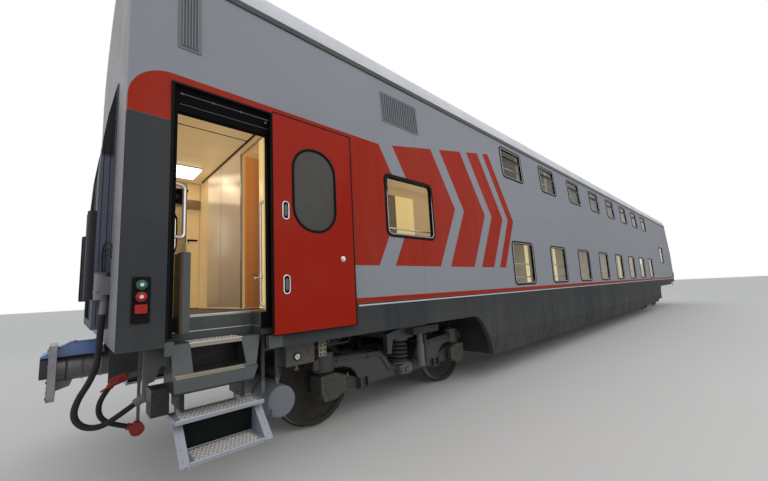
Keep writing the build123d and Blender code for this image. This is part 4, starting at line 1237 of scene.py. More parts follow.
    def beams(self) -> None:
        """Weld beads round the side beams, and the brackets and bolts on their outer faces."""
        beads, plates = self.shapes(2)
        places, face = [], self.beam_y + self.beam_half
        outline = self.beam + tuple((-u, z) for u, z in self.beam[-2:0:-1])
        for side in each_side(beads, plates):
            for y in (self.beam_y - self.beam_half, face):
                beads.loop(upright(outline, y), 0.0065, 6)
            for way in SIDES:
                for u in (0.66, 0.78):
                    plates.box((way * u - 0.008, face, 0.36), (way * u + 0.008, face + 0.045, 0.47))
                plates.box((way * 0.90 - 0.06, face, 0.700), (way * 0.90 + 0.06, face + 0.008, 0.745))
                places += [(self.spot(way * u, side * face, z), (0, side, 0)) for u in (0.69, 0.75)
                           for z in (0.385, 0.445)]
        beads.piece(f"beam_welds_{self.letter}", Finish.BOGIE, self.body, smooth=60)
        plates.piece(f"beam_brackets_{self.letter}", Finish.BOGIE, self.body, bevel=0.003)
        Studs().set(f"beam_bolts_{self.letter}", bolt(0.011, 0.010), places, Finish.BOGIE, self.body)

    def pipes(self) -> None:
        """Brake pipes clipped along the beams, the ribbed hoses beside the dampers and the levelling valves' plates."""
        lines, clips, ribbed, valves = self.shapes(4)
        face, turn = self.beam_y + self.beam_half, -self.sign
        route = [(-u, z) for u, z in reversed(self.pipe)] + list(self.pipe)
        ribs = [(0.026 * i + along, radius) for i in range(17) for along, radius in self.rib]
        for side in each_side(lines, clips, ribbed, valves):
            for drop, radius in ((0.0, 0.009), (0.026, 0.006)):
                lines.tube([(u, face + 0.014, z - drop) for u, z in route], radius)
            for way, (u, z) in itertools.product(SIDES, self.clips):
                clips.box((way * u - 0.012, face, z - 0.035), (way * u + 0.012, face + 0.026, z + 0.022))
            ribbed.turned((turn * 0.365, 1.215, 0.462), UPWARD, [(0.0, 0.0), *ribs, (0.446, 0.022)], 16)
            valves.prism([(turn * u, z) for u, z in self.valve], "y", 1.152, 1.162)
            for u, z in ((-0.075, 0.445), (0.010, 0.440)):
                valves.turned((turn * u, 1.152, z), (0, side, 0), self.valve_knob, 20)
        lines.piece(f"brake_pipes_{self.letter}", Finish.PIPE, self.body, smooth=60)
        clips.piece(f"pipe_clips_{self.letter}", Finish.BOGIE, self.body, bevel=0.002)
        ribbed.piece(f"ribbed_hoses_{self.letter}", Finish.UNDER, self.body)
        valves.piece(f"valve_plates_{self.letter}", Finish.PIPE, self.body, bevel=0.002)

    def build(self) -> None:
        """Makes every part of it."""
        self.springs()
        self.seats()
        self.covers()
        self.beams()
        self.pipes()


@dataclass
class Windows(Group):
    """Rubber beads, trims and vent bars of the side windows, the corridor rails and the rub strips."""

    plane_y: float = 1.577
    kink_z: float = 2.780
    lean: float = 0.080 / 1.620
    middle: tuple[float, ...] = (9.655, 2.605, 0.950, 0.810, 0.090)
    lower: tuple[float, ...] = (1.925, 0.920, 0.830, 0.100)
    upper: tuple[float, ...] = (3.935, 0.900, 0.640, 0.090)
    pitch: float = 1.83
    count: int = 8
    rails: Rows = (
        (5.3, 20.2, -1.462, 1.66), (5.3, 20.2, -1.462, 1.92), (5.3, 20.2, -1.400, 3.74), (5.3, 20.2, -1.400, 3.90),
        (2.5, 3.7, -1.470, 2.33))
    strip: Pair = (2.12, 25.38)
    strip_section: Outline = ((1.576, 1.372), (1.583, 1.375), (1.583, 1.389), (1.576, 1.392))

    def all(self) -> list[tuple[float, ...]]:
        """Middle x, middle z, width, height and corner of each window on one side, the upper ones last."""
        rows = [((i - (self.count - 1) / 2) * self.pitch) for i in range(self.count)]
        return [(-self.middle[0], *self.middle[1:]), self.middle,
                *((x, *self.lower) for x in rows), *((x, *self.upper) for x in rows)]

    def skin(self, side: int, z: float, out: float) -> Vector:
        """Place on the outer skin at a height, moved out along its normal."""
        if z <= self.kink_z:
            return Vector((0, side * (self.plane_y + out), up(z)))
        normal = Vector((0, side, self.lean)).normalized()
        return Vector((0, side * (self.plane_y - (z - self.kink_z) * self.lean), up(z))) + normal * out

    def bead(self, inset: float, out: float, radius: float, name: str, finish: Finish) -> None:
        """A rounded bead round every window.

        Args:
            inset: how far inside the window's opening it runs.
            out: how far it stands off the skin.
            radius: its section's radius.
            name: name of the piece.
            finish: what it is finished in.
        """
        shape = Shape()
        for side, (x, z, width, height, corner) in itertools.product(SIDES, self.all()):
            outline = rounded(width - 2 * inset, height - 2 * inset, corner - inset, 5)
            shape.loop([self.skin(side, z + v, out) + Vector((x + u, 0, 0)) for u, v in outline], radius, 6)
        shape.piece(name, finish, smooth=70)

    def bars(self) -> None:
        """Bright bars across the upper windows, under their vents."""
        shape = Shape()
        for side, (x, z, width, height, _) in itertools.product(SIDES, self.all()[-self.count:]):
            low, high = (self.skin(side, z + 0.16 * height + v, -0.006) for v in (-0.022, 0.022))
            ends = [(low.y, low.z), (high.y, high.z), (high.y - side * 0.014, high.z), (low.y - side * 0.014, low.z)]
            shape.prism(ends, "x", x - width / 2 + 0.020, x + width / 2 - 0.020)
        shape.piece("window_transoms", Finish.TRIM)

    def build(self) -> None:
        """Makes every part of them."""
        self.bars()
        self.bead(0.004, 0.004, 0.011, "window_beads", Finish.SEAL)
        self.bead(0.033, 0.0035, 0.0090, "window_trims", Finish.BEAD)
        rails, strips = self.shapes(2)
        for rail in self.rails:
            rails.bar(*rail, 0.011, 10)
        rails.piece("corridor_rails", Finish.STEEL)
        for _ in each_side(strips):
            strips.prism(self.strip_section, "x", *self.strip)
        strips.piece("rub_strips", Finish.TRIM)


@dataclass
class Boarding(Group):
    """Boarding doors and steps: seals, gaskets, handles, header gear, tread plates and flap ribs.

    A leaf's row holds its near edge, its face and its foot; places on it count from there.
    """

    notch: Pair = (0.285, 1.215)
    clear: Pair = (0.340, 1.105)
    door_top: float = 3.315
    clear_top: float = 3.090
    sill: float = 1.255
    leaves: tuple[Point, ...] = ((1.112, 1.637, 1.190), (0.287, 1.577, 1.215))
    leaf: Pair = (0.925, 2.095)
    oval: Pair = (0.4505, 1.390)
    handles: Outline = ((0.120, 1.145), (0.120, 0.445))
    lock: Pair = (0.777, 0.697)
    lock_profile: Outline = ((0.0, 0.030), (0.004, 0.029), (0.006, 0.021), (0.016, 0.020), (0.022, 0.014))
    stair: Pair = (0.348, 1.032)
    slide: Pair = (0.352, 1.010)
    treads: Rows = ((0.680, 1.375, 1.633, 0.006), (0.435, 1.520, 1.790, 0.066))
    upper_nose: Outline = ((1.4705, 1.1995), (1.4750, 1.2030), (1.4845, 1.185), (1.4945, 1.167),
                                    (1.4910, 1.167), (1.4815, 1.185))
    lower_nose: Outline = ((1.5945, 0.988), (1.6045, 0.9755), (1.6010, 0.9735), (1.5910, 0.988))
    tooth_pitch: Pair = (0.030, 0.036)

    def seals(self) -> None:
        """Rubber profiles round both openings and round the open leaf."""
        shape = Shape(self.spot)
        (a, b), (c, d) = self.notch, self.clear
        for _ in each_side(shape):
            for x in (a + 0.010, b - 0.010):
                shape.post(x, 1.566, self.sill, self.door_top - 0.012, 0.011)
            shape.bar(a, b, 1.566, self.door_top - 0.010, 0.011)
            for x in (c - 0.012, d + 0.012):
                shape.post(x, 1.474, 1.42, self.clear_top + 0.012, 0.013)
            shape.bar(c - 0.01, d + 0.01, 1.474, self.clear_top + 0.014, 0.013)
        a, y, foot = self.leaves[0]
        b, y, head = a + self.leaf[0], -y, foot + self.leaf[1]
        for x in (a + 0.002, b - 0.002):
            shape.post(x, y + 0.010, foot + 0.01, head - 0.01, 0.008)
        for z in (foot + 0.002, head - 0.002):
            shape.bar(a, b, y + 0.010, z, 0.008)
        for near, low, high in ((b - 0.004, foot, head), (a, head - 0.003, head + 0.009),
                                (a, foot - 0.008, foot + 0.002)):
            shape.box((near, y - 0.0015, low), (b + 0.012, y + 0.012, high))
        shape.box((a - 0.012, y + 0.012, foot + 0.02), (a + 0.001, y + 0.036, head - 0.02))
        shape.piece("door_seals", Finish.SEAL)

    def ovals(self) -> None:
        """Gaskets of the oval door windows, with their filler strips, and the smoked face of the open leaf's pane."""
        gasket, filler, pane = self.shapes(3)
        for _, (x, face, z) in zip(each_side(gasket, filler), self.leaves):
            centre = (x + self.oval[0], z + self.oval[1])
            for shape, inset, radius, out in ((gasket, 0.001, 0.010, 0.003), (filler, 0.013, 0.003, 0.004)):
                outline = rounded(0.500 - 2 * inset, 0.860 - 2 * inset, 0.240 - inset, 8, centre)
                shape.loop(upright(outline, face + out), radius)
        x, face, z = self.leaves[0]
        centre = (x + self.oval[0], z + self.oval[1])
        pane.prism(rounded(0.496, 0.856, 0.238, 8, centre), "y", 0.007 - face, 0.003 - face)
        gasket.piece("oval_gaskets", Finish.SEAL, smooth=70)
        filler.piece("oval_fillers", Finish.LAMP, smooth=70)
        pane.piece("oval_tints", Finish.SMOKED)

    def fittings(self) -> None:
        """Recessed pull handles and the lock of each leaf."""
        rims, wells, grips = self.shapes(3)
        for side, (x, face, z) in zip(each_side(rims, wells, grips), self.leaves):
            y = face + 0.004
            for u, v in self.handles:
                centre = (x + u, z + v)
                rims.loop(upright(rounded(0.062, 0.170, 0.0309, 6, centre), y), 0.0062)
                grips.prism(rounded(0.030, 0.110, 0.0149, 4, centre), "y", y - 0.006, y + 0.006)
                wells.prism(rounded(0.052, 0.160, 0.0259, 6, centre), "y", y - 0.006, y - 0.001)
            rims.turned((x + self.lock[0], face, z + self.lock[1]), (0, side, 0), self.lock_profile, 24)
        rims.piece("leaf_handles", Finish.STEEL)
        wells.piece("leaf_wells", Finish.LAMP)
        grips.piece("leaf_grips", Finish.CLAMP, bevel=0.003)

    def header(self) -> None:
        """Sliding gear over each opening: rail, carriage, rollers and an actuator; and the rails' lever."""
        rail, gear, track = self.shapes(3)
        for side in each_side(rail, gear, track):
            track.rod((0.345, 1.5705, 3.222), (1.100, 1.5705, 3.222), 0.0035, 10)
            track.box((0.345, 1.5665, 3.130), (1.100, 1.5690, 3.134))
            for x in (0.36, 0.60, 0.84, 1.08):
                track.box((x - 0.008, 1.566, 3.214), (x + 0.008, 1.572, 3.230))
            track.rod((1.070, 1.566, 3.190), (1.070, 1.572, 3.190), 0.011, 12)
            gear.rod((0.465, 1.44, 3.235), (0.805, 1.44, 3.235), 0.032)
            for x in (0.44, 0.60, 0.95):
                gear.box((x - 0.03, 1.418, 3.12), (x + 0.03, 1.462, 3.20))
                gear.rod((x, 1.44 - side * 0.03, 3.150), (x, 1.44 + side * 0.034, 3.150), 0.026)
            gear.box((0.345, 1.44 - side * 0.06, 3.275), (1.100, 1.44 + side * 0.03, 3.300))
            for x, z, end, head, radius, sides in ((1.087, 1.700, 1.087, 1.745, 0.019, 14),
                                                   (1.087, 1.722, 1.030, 1.708, 0.007, 10),
                                                   (1.036, 1.700, 1.026, 1.720, 0.012, 12)):
                rail.rod((x, 1.400, z), (end, 1.400, head), radius, sides)
        track.piece("door_tracks", Finish.CLAMP, bevel=0.001)
        rail.piece("rail_levers", Finish.STEEL, bevel=0.001)
        gear.piece("door_gear", Finish.LAMP, bevel=0.003)

    def step_plates(self) -> None:
        """Nosings, pale treads, risers with their ledge, and lozenges of the fixed steps."""
        bright, pale, riser = self.shapes(3)
        left, right = self.stair
        teeth = []
        for side in each_side(bright, pale, riser):
            pale.boxes((0.476, 1.282, 1.2005, 0.885, 1.474, 1.2035), (0.352, 1.603, 0.9725, 0.850, 1.640, 0.9760))
            pale.prism(self.upper_nose, "x", 0.476, 0.877)
            pale.prism(self.lower_nose, "x", 0.352, 0.850)
            pale.bar(0.350, 0.852, 1.6385, 0.9705, 0.004)
            bright.bar(0.470, 0.885, 1.474, 1.198, 0.005)
            bright.boxes((0.345, 1.276, 1.404, 1.035, 1.2825, 1.392), (left, 1.277, 1.272, right, 1.2835, 1.279),
                         (1.0370, 1.285, 1.272, 1.0395, 1.470, 1.279))
            riser.boxes((1.0395, 1.283, 1.204, 1.0440, 1.476, 1.391), (left, 1.276, 1.204, right, 1.2815, 1.391))
            teeth += self.teeth(side, (0.495, 1.305, 1.2035), (13, 5), 1)
        bright.piece("step_nosings", Finish.TRIM)
        pale.piece("step_treads", Finish.WORN)
        riser.piece("step_risers", Finish.RISER)
        self.lozenges("fixed_step_teeth", teeth, COACH)

    def teeth(self, side: int, corner: Point, counts: tuple[int, int], way: int) -> list[tuple[Point, int]]:
        """Staggered rows of lozenges.

        Args:
            side: side of the coach.
            corner: place of the first one.
            counts: how many lie along the coach and across it.
            way: 1 where the rows go on outwards, or -1.

        Returns:
            Place of each lozenge, and the way that it leans.
        """
        x, y, z = corner
        along, across = self.tooth_pitch
        return [(self.spot(x + along * (i + 0.5 * (j % 2)), side * (y + way * j * across), z), 1 if (i + j) % 2 else -1)
                for i in range(counts[0]) for j in range(counts[1])]

    def lozenges(self, name: str, teeth: list[tuple[Point, int]], body: str) -> None:
        """Raised lozenges of a tread plate, each lying along its own diagonal."""
        corners = ((0.0150, 0, 0), (0, 0.0058, 0), (-0.0150, 0, 0), (0, -0.0058, 0), (0.0060, 0, 0.0026),
                   (-0.0060, 0, 0.0026))
        for part, way in zip("ab", SIDES):
            tooth = Shape()
            turn = Matrix.Rotation(math.radians(45 * way), 4, "Z")
            tooth.faces([turn @ Vector(p) for p in corners],
                        [(0, 1, 5, 4), (1, 2, 5), (2, 3, 4, 5), (3, 0, 4), (3, 2, 1, 0)])
            places = [(p, UPWARD) for p, lean in teeth if lean == way]
            Studs().set(f"{name}_{part}", tooth, places, Finish.LOZENGE, body)

    def slide_plates(self) -> None:
        """Tread plates with lozenges, edge beads, risers and bolts of the two sliding steps."""
        near, far = self.slide
        along, across = self.tooth_pitch
        for side, name in SIDE_NAMES:
            body = f"slide_step_{name}"
            edge, tread, riser = self.shapes(3, side)
            teeth = []
            # riser plate in near black: painted shade behind the lower tread
            riser.box((near + 0.062, 1.521, 0.436), (far - 0.062, 1.526, 0.649))
            for z, inner, outer, margin in self.treads:
                start, end = near + margin, far - margin
                tread.box((start + 0.030, inner + 0.055, z - 0.001), (end - 0.030, outer - 0.014, z + 0.0012))
                for y in (inner + 0.004, outer - 0.004):
                    edge.bar(start, end, y, z - 0.002, 0.0045)
                counts = (int((end - start - 0.09) / along) + 1, int((outer - inner - 0.085) / across) + 1)
                teeth += self.teeth(side, (start + 0.045, outer - 0.030, z + 0.001), counts, -1)
            tread.piece(f"slide_step_plates_{name}", Finish.TREADPLATE, body)
            riser.piece(f"slide_step_riser_{name}", Finish.HOLE, body)
            edge.piece(f"slide_step_edges_{name}", Finish.TRIM, body)
            self.lozenges(f"slide_step_teeth_{name}", teeth, body)
            places = [(self.spot(x, side * (1.542 + 0.258 * t), 0.655 - 0.235 * t), (0, side * 0.673, 0.740))
                      for x in (near + 0.025, far - 0.025) for t in (0.12, 0.37, 0.62, 0.87)]
            Studs().set(f"slide_step_bolts_{name}", bolt(0.006, 0.005), places, Finish.SILVER, body)

    def flaps(self) -> None:
        """Ribbed walking face of each flap: the raised right one and the lowered left one."""
        slats = Slats()
        for name, start, pitch, slat in (
                ("right", (0.3915, -1.3940, 1.300), (0, 0, 0.0135), (0.003, 0.194, 0.006)),
                ("left", (0.402, 1.3925, 1.4005), (0.0135, 0, 0), (0.006, 0.200, 0.003))):
            data = slats.grow(f"flap_ribs_{name}", bpy.data.meshes.new("row"), Finish.TREAD, Count=46,
                              Start=self.spot(*start), Pitch=pitch, Slat=slat)
            dress(f"flap_ribs_{name}", data, Finish.TREAD, f"floor_flap_{name}")

    def build(self) -> None:
        """Makes every part of them."""
        self.seals()
        self.ovals()
        self.fittings()
        self.header()
        self.step_plates()
        self.slide_plates()
        self.flaps()


@dataclass
class Coupling(Group):
    """Ends of the coach: coupler detail, gangway folds, tail lamps and end wall fittings."""

    face: float = -0.355
    height: float = 0.943
    axis_z: float = 0.965
    shank_radius: float = 0.125
    ridges: Rows = ((-0.405, 0.150, 1.084, 0.030, 0.150, 1.084, 0.006),
                                             (-0.215, 0.045, 1.190, 0.015, 0.045, 1.190, 0.005),
                                             (-0.405, 0.148, 1.092, -0.216, 0.047, 1.189, 0.005))
    port: Outline = ((0.0, 0.036), (0.012, 0.034), (0.016, 0.024), (0.006, 0.018))
    seams: Rows = ((-0.034, 0.7985, 1.36, 2.96, 0.0030), (-0.078, 0.7985, 1.36, 2.96, 0.0030),
                                            (-0.163, 0.700, 1.60, 2.32, 0.0045))
    lamp: Pair = (0.130, 1.5975)
    dome: Outline = ((0.0, 0.036), (0.006, 0.035), (0.014, 0.026), (0.018, 0.012))
    bulb: Outline = ((0.0, 0.013), (0.003, 0.010), (0.0035, 0.0))
    iron: Pair = (1.05, 1.33)
    gland: Point = (-0.050, -0.868, 1.800)

    def head(self) -> None:
        """Rim, air ports and bolts of the face plate, and the cast bands of the shank and hood."""
        body = f"coupler_{self.letter}"
        out = (self.sign, 0, 0)
        metal, bright = self.shapes(2)
        metal.loop([(self.face, v, self.height + u) for u, v in rounded(0.478, 0.482, 0.034, 4)], 0.005)
        for x in (-0.235, -0.120, 0.020):
            metal.loop(circle((x, 0.0, self.axis_z), self.shank_radius, True), 0.006, flat=2.0)
        for _ in each_side(metal, bright):
            for *ends, radius in self.ridges:
                metal.tube([ends[:3], ends[3:]], radius)
            bright.turned((self.face, 0.075, self.height - 0.165), out, self.port, 24)
        places = [(self.spot(self.face, v * 0.212, self.height + u * 0.205), out)
                  for u in (-1, -0.33, 0.33, 1) for v in SIDES]
        places += [(self.spot(x, y, 1.190), UPWARD) for x in (-0.18, -0.02) for y in (-0.02, 0.02)]
        metal.piece(f"coupler_fittings_{self.letter}", Finish.COUPLER, body)
        bright.piece(f"coupler_ports_{self.letter}", Finish.STEEL, body)
        Studs().set(f"coupler_bolts_{self.letter}", bolt(0.013, 0.012), places, Finish.FASTENER, body)

    def folds(self) -> None:
        """Seams down the side plates of the portal, its clamp frame and bolts, and the seams of the rolls."""
        folds, frame = self.shapes(2)
        places = []
        for side in each_side(folds, frame):
            for seam in self.seams:
                folds.post(*seam)
            frame.boxes((0.0, 0.800, 1.335, -0.010, 0.835, 3.52), (-0.105, 0.462, 1.42, -0.112, 0.482, 2.68))
            places += [(self.spot(-0.010, side * 0.820, 1.45 + k * 0.22), (self.sign, 0, 0)) for k in range(10)]
        frame.box((0.0, -0.835, 3.520), (-0.010, 0.835, 3.552))
        folds.piece(f"gangway_folds_{self.letter}", Finish.SEAL, smooth=60)
        frame.piece(f"gangway_clamps_{self.letter}", Finish.CLAMP, bevel=0.002)
        Studs().set(f"gangway_bolts_{self.letter}", bolt(), places, Finish.CLAMP)

    def lamps(self) -> None:
        """Tail lamp lenses: green, red and a square reflector on each side, with pale lamps in the round ones."""
        green, red, rims, bulbs = self.shapes(4)
        x, y = self.lamp
        for side in each_side(green, red, rims, bulbs):
            for z, shape in ((1.662, green), (1.577, red)):
                shape.turned((x, y, z), (0, side, 0), self.dome, 28)
                rims.loop(circle((x, y + 0.002, z), 0.041, count=30), 0.0045)
                bulbs.turned((x, y + 0.0175, z), (0, side, 0), self.bulb, 20)
            red.prism(rounded(0.074, 0.062, 0.006, 3, (x, 1.492)), "y", y, y + 0.006)
        green.piece(f"tail_lamps_green_{self.letter}", Finish.GREEN)
        red.piece(f"tail_lamps_red_{self.letter}", Finish.RED)
        rims.piece(f"tail_lamp_rims_{self.letter}", Finish.LAMP)
        bulbs.piece(f"tail_lamp_bulbs_{self.letter}", Finish.BULB)

    def end_fittings(self) -> None:
        """Grab irons on the far side of the end wall, and the cable loops and nuts of the jumper sockets."""
        irons, cables, nuts = self.shapes(3)
        places = []
        a, b = self.iron
        for z in (1.62, 2.06, 2.50, 2.94):
            irons.tube([(0.0, a, z), (-0.055, a, z), (-0.055, b, z), (0.0, b, z)], 0.0095, 10)
            for y in self.iron:
                irons.box((0.0, y - 0.025, z - 0.018), (-0.006, y + 0.025, z + 0.018))
                places.append((self.spot(-0.006, y + 0.017, z), (self.sign, 0, 0)))
        x, y, z = self.gland
        for shift, rise, radius in ((0.0, 0.26, 0.007), (0.022, 0.20, 0.005), (-0.020, 0.15, 0.005)):
            cables.tube([(x, y + shift, z - 0.02), (x - 0.012, y + shift, z + rise * 0.5),
                         (x - 0.002, y + shift * 2, z + rise * 0.9), (x + 0.020, y - 0.030 + shift, z + rise),
                         (x + 0.040, y - 0.075 + shift, z + rise * 0.9), (0.002, y - 0.100 + shift, z + rise * 0.70)],
                        radius)
        for drop, radius, tall in ((0.000, 0.054, 0.016), (0.150, 0.056, 0.022), (0.195, 0.050, 0.014)):
            nuts.turned((x - 0.004, y, z - drop), DOWNWARD, [(0.0, radius), (tall, radius)], 6)
        cables.piece(f"socket_cables_{self.letter}", Finish.HOSE, smooth=60)
        nuts.piece(f"socket_nuts_{self.letter}", Finish.FASTENER, bevel=0.002)
        irons.piece(f"end_grab_irons_{self.letter}", Finish.STEP)
        Studs().set(f"end_iron_bolts_{self.letter}", bolt(0.006, 0.005), places, Finish.STEEL)

    def build(self) -> None:
        """Makes every part of it."""
        self.head()
        self.folds()
        self.lamps()
        self.end_fittings()


@dataclass
class Vestibule(Group):
    """Inside the boarding doors: ceiling lamp, panel joints, brushed panel, door furniture and boxes."""

    def build(self) -> None:
        """Makes its pieces."""
        self.boxed("vestibule_lamps", Finish.WHITE, 0.006, (0.50, 0.72, 3.420, 1.12, 1.22, 3.438))
        self.boxed("vestibule_trims", Finish.TRIM, 0.001,
                   (0.485, 0.705, 3.436, 1.135, 1.235, 3.449), (1.290, -1.070, 1.41, 1.302, -1.030, 3.35),
                   (1.290, -0.365, 1.41, 1.302, -0.325, 3.35), (1.290, -1.050, 3.325, 1.302, -0.345, 3.35),
                   (0.30, -1.290, 1.4005, 1.28, -1.276, 1.412))
        # brushed panel whose glow paints its sheen and lamp reflections
        self.boxed("vestibule_panel", Finish.BRUSHED, 0.001, (1.294, -0.305, 1.42, 1.301, 1.02, 3.41))
        self.boxed("vestibule_joints", Finish.LAMP, 0.0,
                   (1.284, -1.30, 3.434, 1.299, 1.36, 3.4495), (0.10, -0.556, 3.445, 1.284, -0.546, 3.4495),
                   (1.2925, 0.418, 1.42, 1.295, 0.420, 3.41), (1.110, 1.425, 2.470, 1.255, 1.451, 2.498))
        self.boxed("vestibule_boxes", Finish.PARTITION, 0.006,
                   *((1.098, side * 1.452, 1.41, 1.285, side * 1.466, 3.43) for side in SIDES))
        self.boxed("corridor_screens", Finish.LIT, 0.001,
                   (1.3015, -1.049, 1.41, 1.329, -0.872, 3.325), (4.160, -0.268, 1.45, 4.650, -0.261, 3.27))
        self.boxed("corridor_door", Finish.BROWN, 0.001,
                   (1.070, 1.350, 2.990, 1.275, 1.451, 3.130), (3.420, -0.268, 1.45, 4.160, -0.261, 3.27))
        knob = Shape(self.spot)
        knob.rod((1.500, -0.340, 1.800), (1.500, -0.392, 1.800), 0.011, 12)
        knob.tube([(1.500, -0.390, 1.800), (1.410, -0.392, 1.812)], 0.010, 10)
        knob.piece("inner_door_handle", Finish.STEEL, "inner_door")


@dataclass
class UnderGear(Group):
    """Underframe detail by the bogie at end A: tank bands, pipes, drain cocks, gauge and the boxes' controls."""

    tank: Point = (1.262, 0.560, 0.142)
    runs: tuple[Point, ...] = ((1.28, 1.03, 0.014), (1.33, 1.00, 0.010), (1.38, 0.985, 0.008))
    case_face: float = 1.432
    gauge: Pair = (1.440, 0.934)

    def build(self) -> None:
        """Makes its pieces."""
        bands, pipes, dial, rims, drains = self.shapes(5)
        x, z, tank_radius = self.tank
        for _ in each_side(bands, pipes, drains):
            for y in (0.72, 1.10):
                bands.loop(circle((x, y, z), tank_radius + 0.003), 0.004, 6, flat=4.0)
            drains.rod((x - 0.110, 1.452, z - 0.045), (x - 0.110, 1.474, z - 0.045), 0.009, 10)
            drains.rod((x - 0.110, 1.466, z - 0.045), (x - 0.118, 1.466, z - 0.110), 0.006, 10)
            for k, (y, high, radius) in enumerate(self.runs):
                pipes.tube([(1.66, y, high), (1.9 + 0.1 * k, y, high), (2.0 + 0.1 * k, y - 0.02, high + 0.09),
                            (4.1, y - 0.02, high + 0.09), (4.35, y - 0.02, high + 0.05), (5.15, y - 0.02, high + 0.05)],
                           radius, 10)
        x, z = self.gauge
        face = -self.case_face
        dial.turned((x, face, z), (0, -1, 0), [(0.0, 0.030), (0.003, 0.030)], 28)
        rims.loop(circle((x, face - 0.002, z), 0.032, count=30), 0.0045)
        rims.rod((x + 0.008, face - 0.0045, z - 0.010), (x - 0.010, face - 0.0045, z + 0.017), 0.0022, 6)
        drains.rod((x, -1.405, 0.848), (x, -1.405, 0.800), 0.013, 12)
        drains.rod((x - 0.026, -1.405, 0.812), (x + 0.026, -1.405, 0.812), 0.007, 10)
        for x, z in itertools.product((1.725, 1.775), (0.905, 0.950, 0.995)):
            drains.rod((x, -1.400, z), (x, -1.424, z), 0.009, 10)
        drains.box((1.712, -1.400, 1.015), (1.788, -1.412, 1.035))
        bands.piece("tank_bands", Finish.UNDER, smooth=60)
        pipes.piece("sole_bar_pipes", Finish.UNDER, smooth=60)
        dial.piece("gauge_dial", Finish.DIAL)
        rims.piece("gauge_rim", Finish.LAMP)
        drains.piece("drain_cocks", Finish.PIPE)
        self.boxed("release_button", Finish.HEAD, 0.0, (1.573, -1.420, 0.940, 1.597, -1.428, 0.982))
        self.boxed("terminal_cover", Finish.WORN, 0.001, (1.703, -1.400, 0.885, 1.797, -1.4045, 1.052))


@dataclass
class Hoses:
    """The two hoses that hang under end A, as smooth lines along the routes of their CAD tubes."""

    jumper_route: tuple[Point, ...] = (
        (-0.036, -0.868, 1.455), (-0.048, -0.868, 1.265), (-0.050, -0.868, 1.075), (-0.092, -0.869, 0.932),
        (-0.164, -0.870, 0.806), (-0.186, -0.870, 0.683), (-0.121, -0.870, 0.588), (-0.010, -0.869, 0.562),
        (0.096, -0.867, 0.616), (0.205, -0.865, 0.684))
    jumper_length: float = 1.26
    jumper_across: float = 0.046
    brake_route: tuple[Point, ...] = (
        (0.050, -0.620, 0.812), (0.005, -0.620, 0.745), (-0.018, -0.620, 0.668), (-0.008, -0.620, 0.592),
        (0.036, -0.620, 0.532), (0.104, -0.619, 0.490), (0.188, -0.618, 0.452))
    brake_length: float = 0.48
    brake_across: float = 0.042

    def line(self, name: str, route: Sequence[Point], across: float) -> bpy.types.Object:
        """A round hose on one smooth line with the route's points as its control points."""
        curve = bpy.data.curves.new(name, "CURVE")
        curve.dimensions = "3D"
        spline = curve.splines.new("NURBS")
        spline.points.add(len(route) - 1)
        for point, (x, y, z) in zip(spline.points, route):
            point.co = (at(x), y, up(z), 1)
        spline.order_u = 3
        spline.use_endpoint_u = True
        curve.resolution_u = 12
        curve.bevel_depth = across / 2
        curve.bevel_resolution = 4
        curve.use_fill_caps = True
        hose = linked(name, curve)
        curve.materials.append(Finish.HOSE.material())
        return hose

    def build(self) -> None:
        """Makes both hoses and logs their lengths."""
        for name, node, route, across, length, end, pieces in (
                ("jumper_line", "jumper_hose", self.jumper_route, self.jumper_across, self.jumper_length, "object", []),
                ("brake_line", "brake_hose", self.brake_route, self.brake_across, self.brake_length, "connector",
                 ["brake_hose_head"])):
            hose = self.line(name, route, across)
            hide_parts(node)
            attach(hose, COACH)
            x, y, z = route[0]
            at(x)
            up(z)
            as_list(pieces)
            LOG.info("%s: %.2f m of hose", name, length)


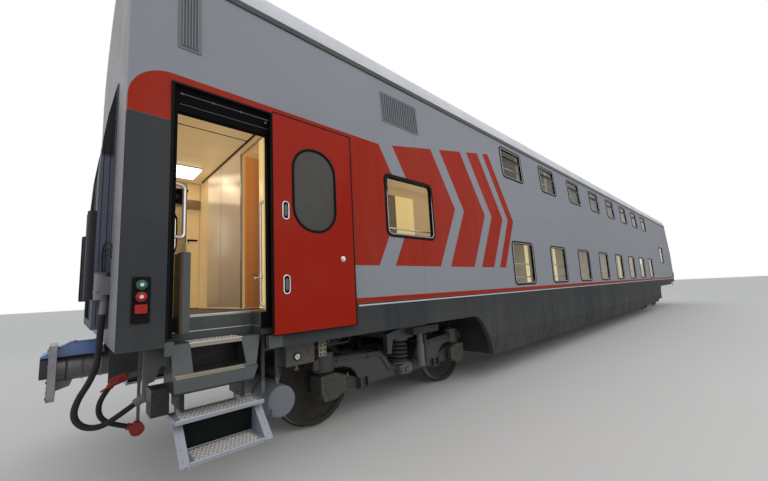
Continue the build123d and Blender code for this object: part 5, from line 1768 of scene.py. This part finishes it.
@dataclass
class Studio:
    """Pale floor, soft light and the photograph's camera."""

    camera_place: Point = (-0.2557, -4.5089, 1.5389)
    right: Point = (0.73985549, -0.67090190, -0.05004487)
    down: Point = (0.04885951, 0.12777336, -0.99059917)
    forward: Point = (0.67098927, 0.73045507, 0.12731376)
    focal: float = 337.09
    frame: tuple[int, int] = (768, 481)
    centre: Pair = (376.92, 247.09)
    floor_half: float = 150.0
    floor_z: float = -0.0006
    floor_colour: RGB = (0.66, 0.66, 0.65)
    soft_colour: RGB = (0.96, 0.98, 1.0)
    soft_strength: float = 0.66
    lamp_colour: RGB = (1.0, 0.98, 0.95)
    aim_span: Pair = (-11.0, 6.0)
    aim_z: float = 2.2
    lamps: tuple[tuple[str, Point, float, float], ...] = (
        ("key", (-9.0, -9.0, 8.0), 9.0, 300.0), ("side", (6.0, -12.0, 7.0), 12.0, 330.0),
        ("far_side", (0.0, 12.0, 8.0), 14.0, 450.0), ("end", (-19.0, -1.0, 4.5), 5.0, 90.0))

    def camera(self) -> None:
        """Sets the camera as it stood."""
        data = bpy.data.cameras.new("view")
        data.sensor_fit = "HORIZONTAL"
        data.sensor_width = 36.0
        data.lens = self.focal / self.frame[0] * data.sensor_width
        data.shift_x = (self.frame[0] / 2 - self.centre[0]) / self.frame[0]
        data.shift_y = (self.centre[1] - self.frame[1] / 2) / self.frame[0]
        data.clip_start, data.clip_end = 0.05, 500
        camera = linked("view", data)
        x, y, z = self.camera_place
        columns = Matrix((self.right, -Vector(self.down), -Vector(self.forward))).transposed()
        camera.matrix_world = Matrix.Translation((at(x), y, up(z))) @ columns.to_4x4()
        bpy.context.scene.camera = camera

    def floor(self) -> None:
        """Lays the pale floor."""
        s = Shader("studio_floor")
        s.finish(Base_Color=s.shade(self.floor_colour, 0.97 + 0.06 * s.noise(0.4)), Roughness=0.8)
        data = bpy.data.meshes.new("studio_floor")
        size = self.floor_half
        corners = [(u * size, v * size, self.floor_z) for u, v in ((-1, -1), (1, -1), (1, 1), (-1, 1))]
        data.from_pydata(corners, [], [(0, 1, 2, 3)])
        data.materials.append(s.material)
        linked("studio_floor", data)

    def lights(self) -> None:
        """Soft even light from all round, and a white background."""
        world = bpy.data.worlds.new("studio")
        bpy.context.scene.world = world
        sky = Tree(world)
        camera, glossy, through = (sky.add("ShaderNodeLightPath", {}, {}, f"Is {kind} Ray")
                                   for kind in ("Camera", "Glossy", "Transmission"))
        white = sky.add("ShaderNodeBackground", {}, {"Color": (1.0, 1.0, 1.0), "Strength": 1.0})
        soft = sky.add("ShaderNodeBackground", {}, {"Color": self.soft_colour, "Strength": self.soft_strength})
        seen = sky.add("ShaderNodeMixShader", {}, {0: camera | glossy | through, 1: soft, 2: white})
        sky.add("ShaderNodeOutputWorld", {}, {0: seen})
        low, high = self.aim_span
        for name, place, size, watts in self.lamps:
            lamp = bpy.data.lights.new(name, "AREA")
            lamp.size = size
            lamp.energy = watts
            lamp.color = self.lamp_colour
            holder = linked(name, lamp)
            holder.location = place
            aim = Vector((min(max(place[0], low), high), 0, self.aim_z)) - Vector(place)
            holder.rotation_euler = aim.to_track_quat("-Z", "Y").to_euler()

    def build(self) -> None:
        """Sets up the studio."""
        self.floor()
        self.lights()
        self.camera()
        bpy.context.scene.view_settings.view_transform = "Standard"


def main() -> None:
    """Builds the coach's looks in order."""
    logging.basicConfig(level=logging.INFO, format="%(message)s")
    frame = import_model()
    for group in (Frame(frame["nodes"]), Bogie("a", -1), Bogie("b", 1), Windows(), Boarding(), Coupling("a", -1),
                  Coupling("b", 1), Vestibule(), UnderGear(), Hoses(), Studio()):
        group.build()


if __name__ == "__main__":
    main()
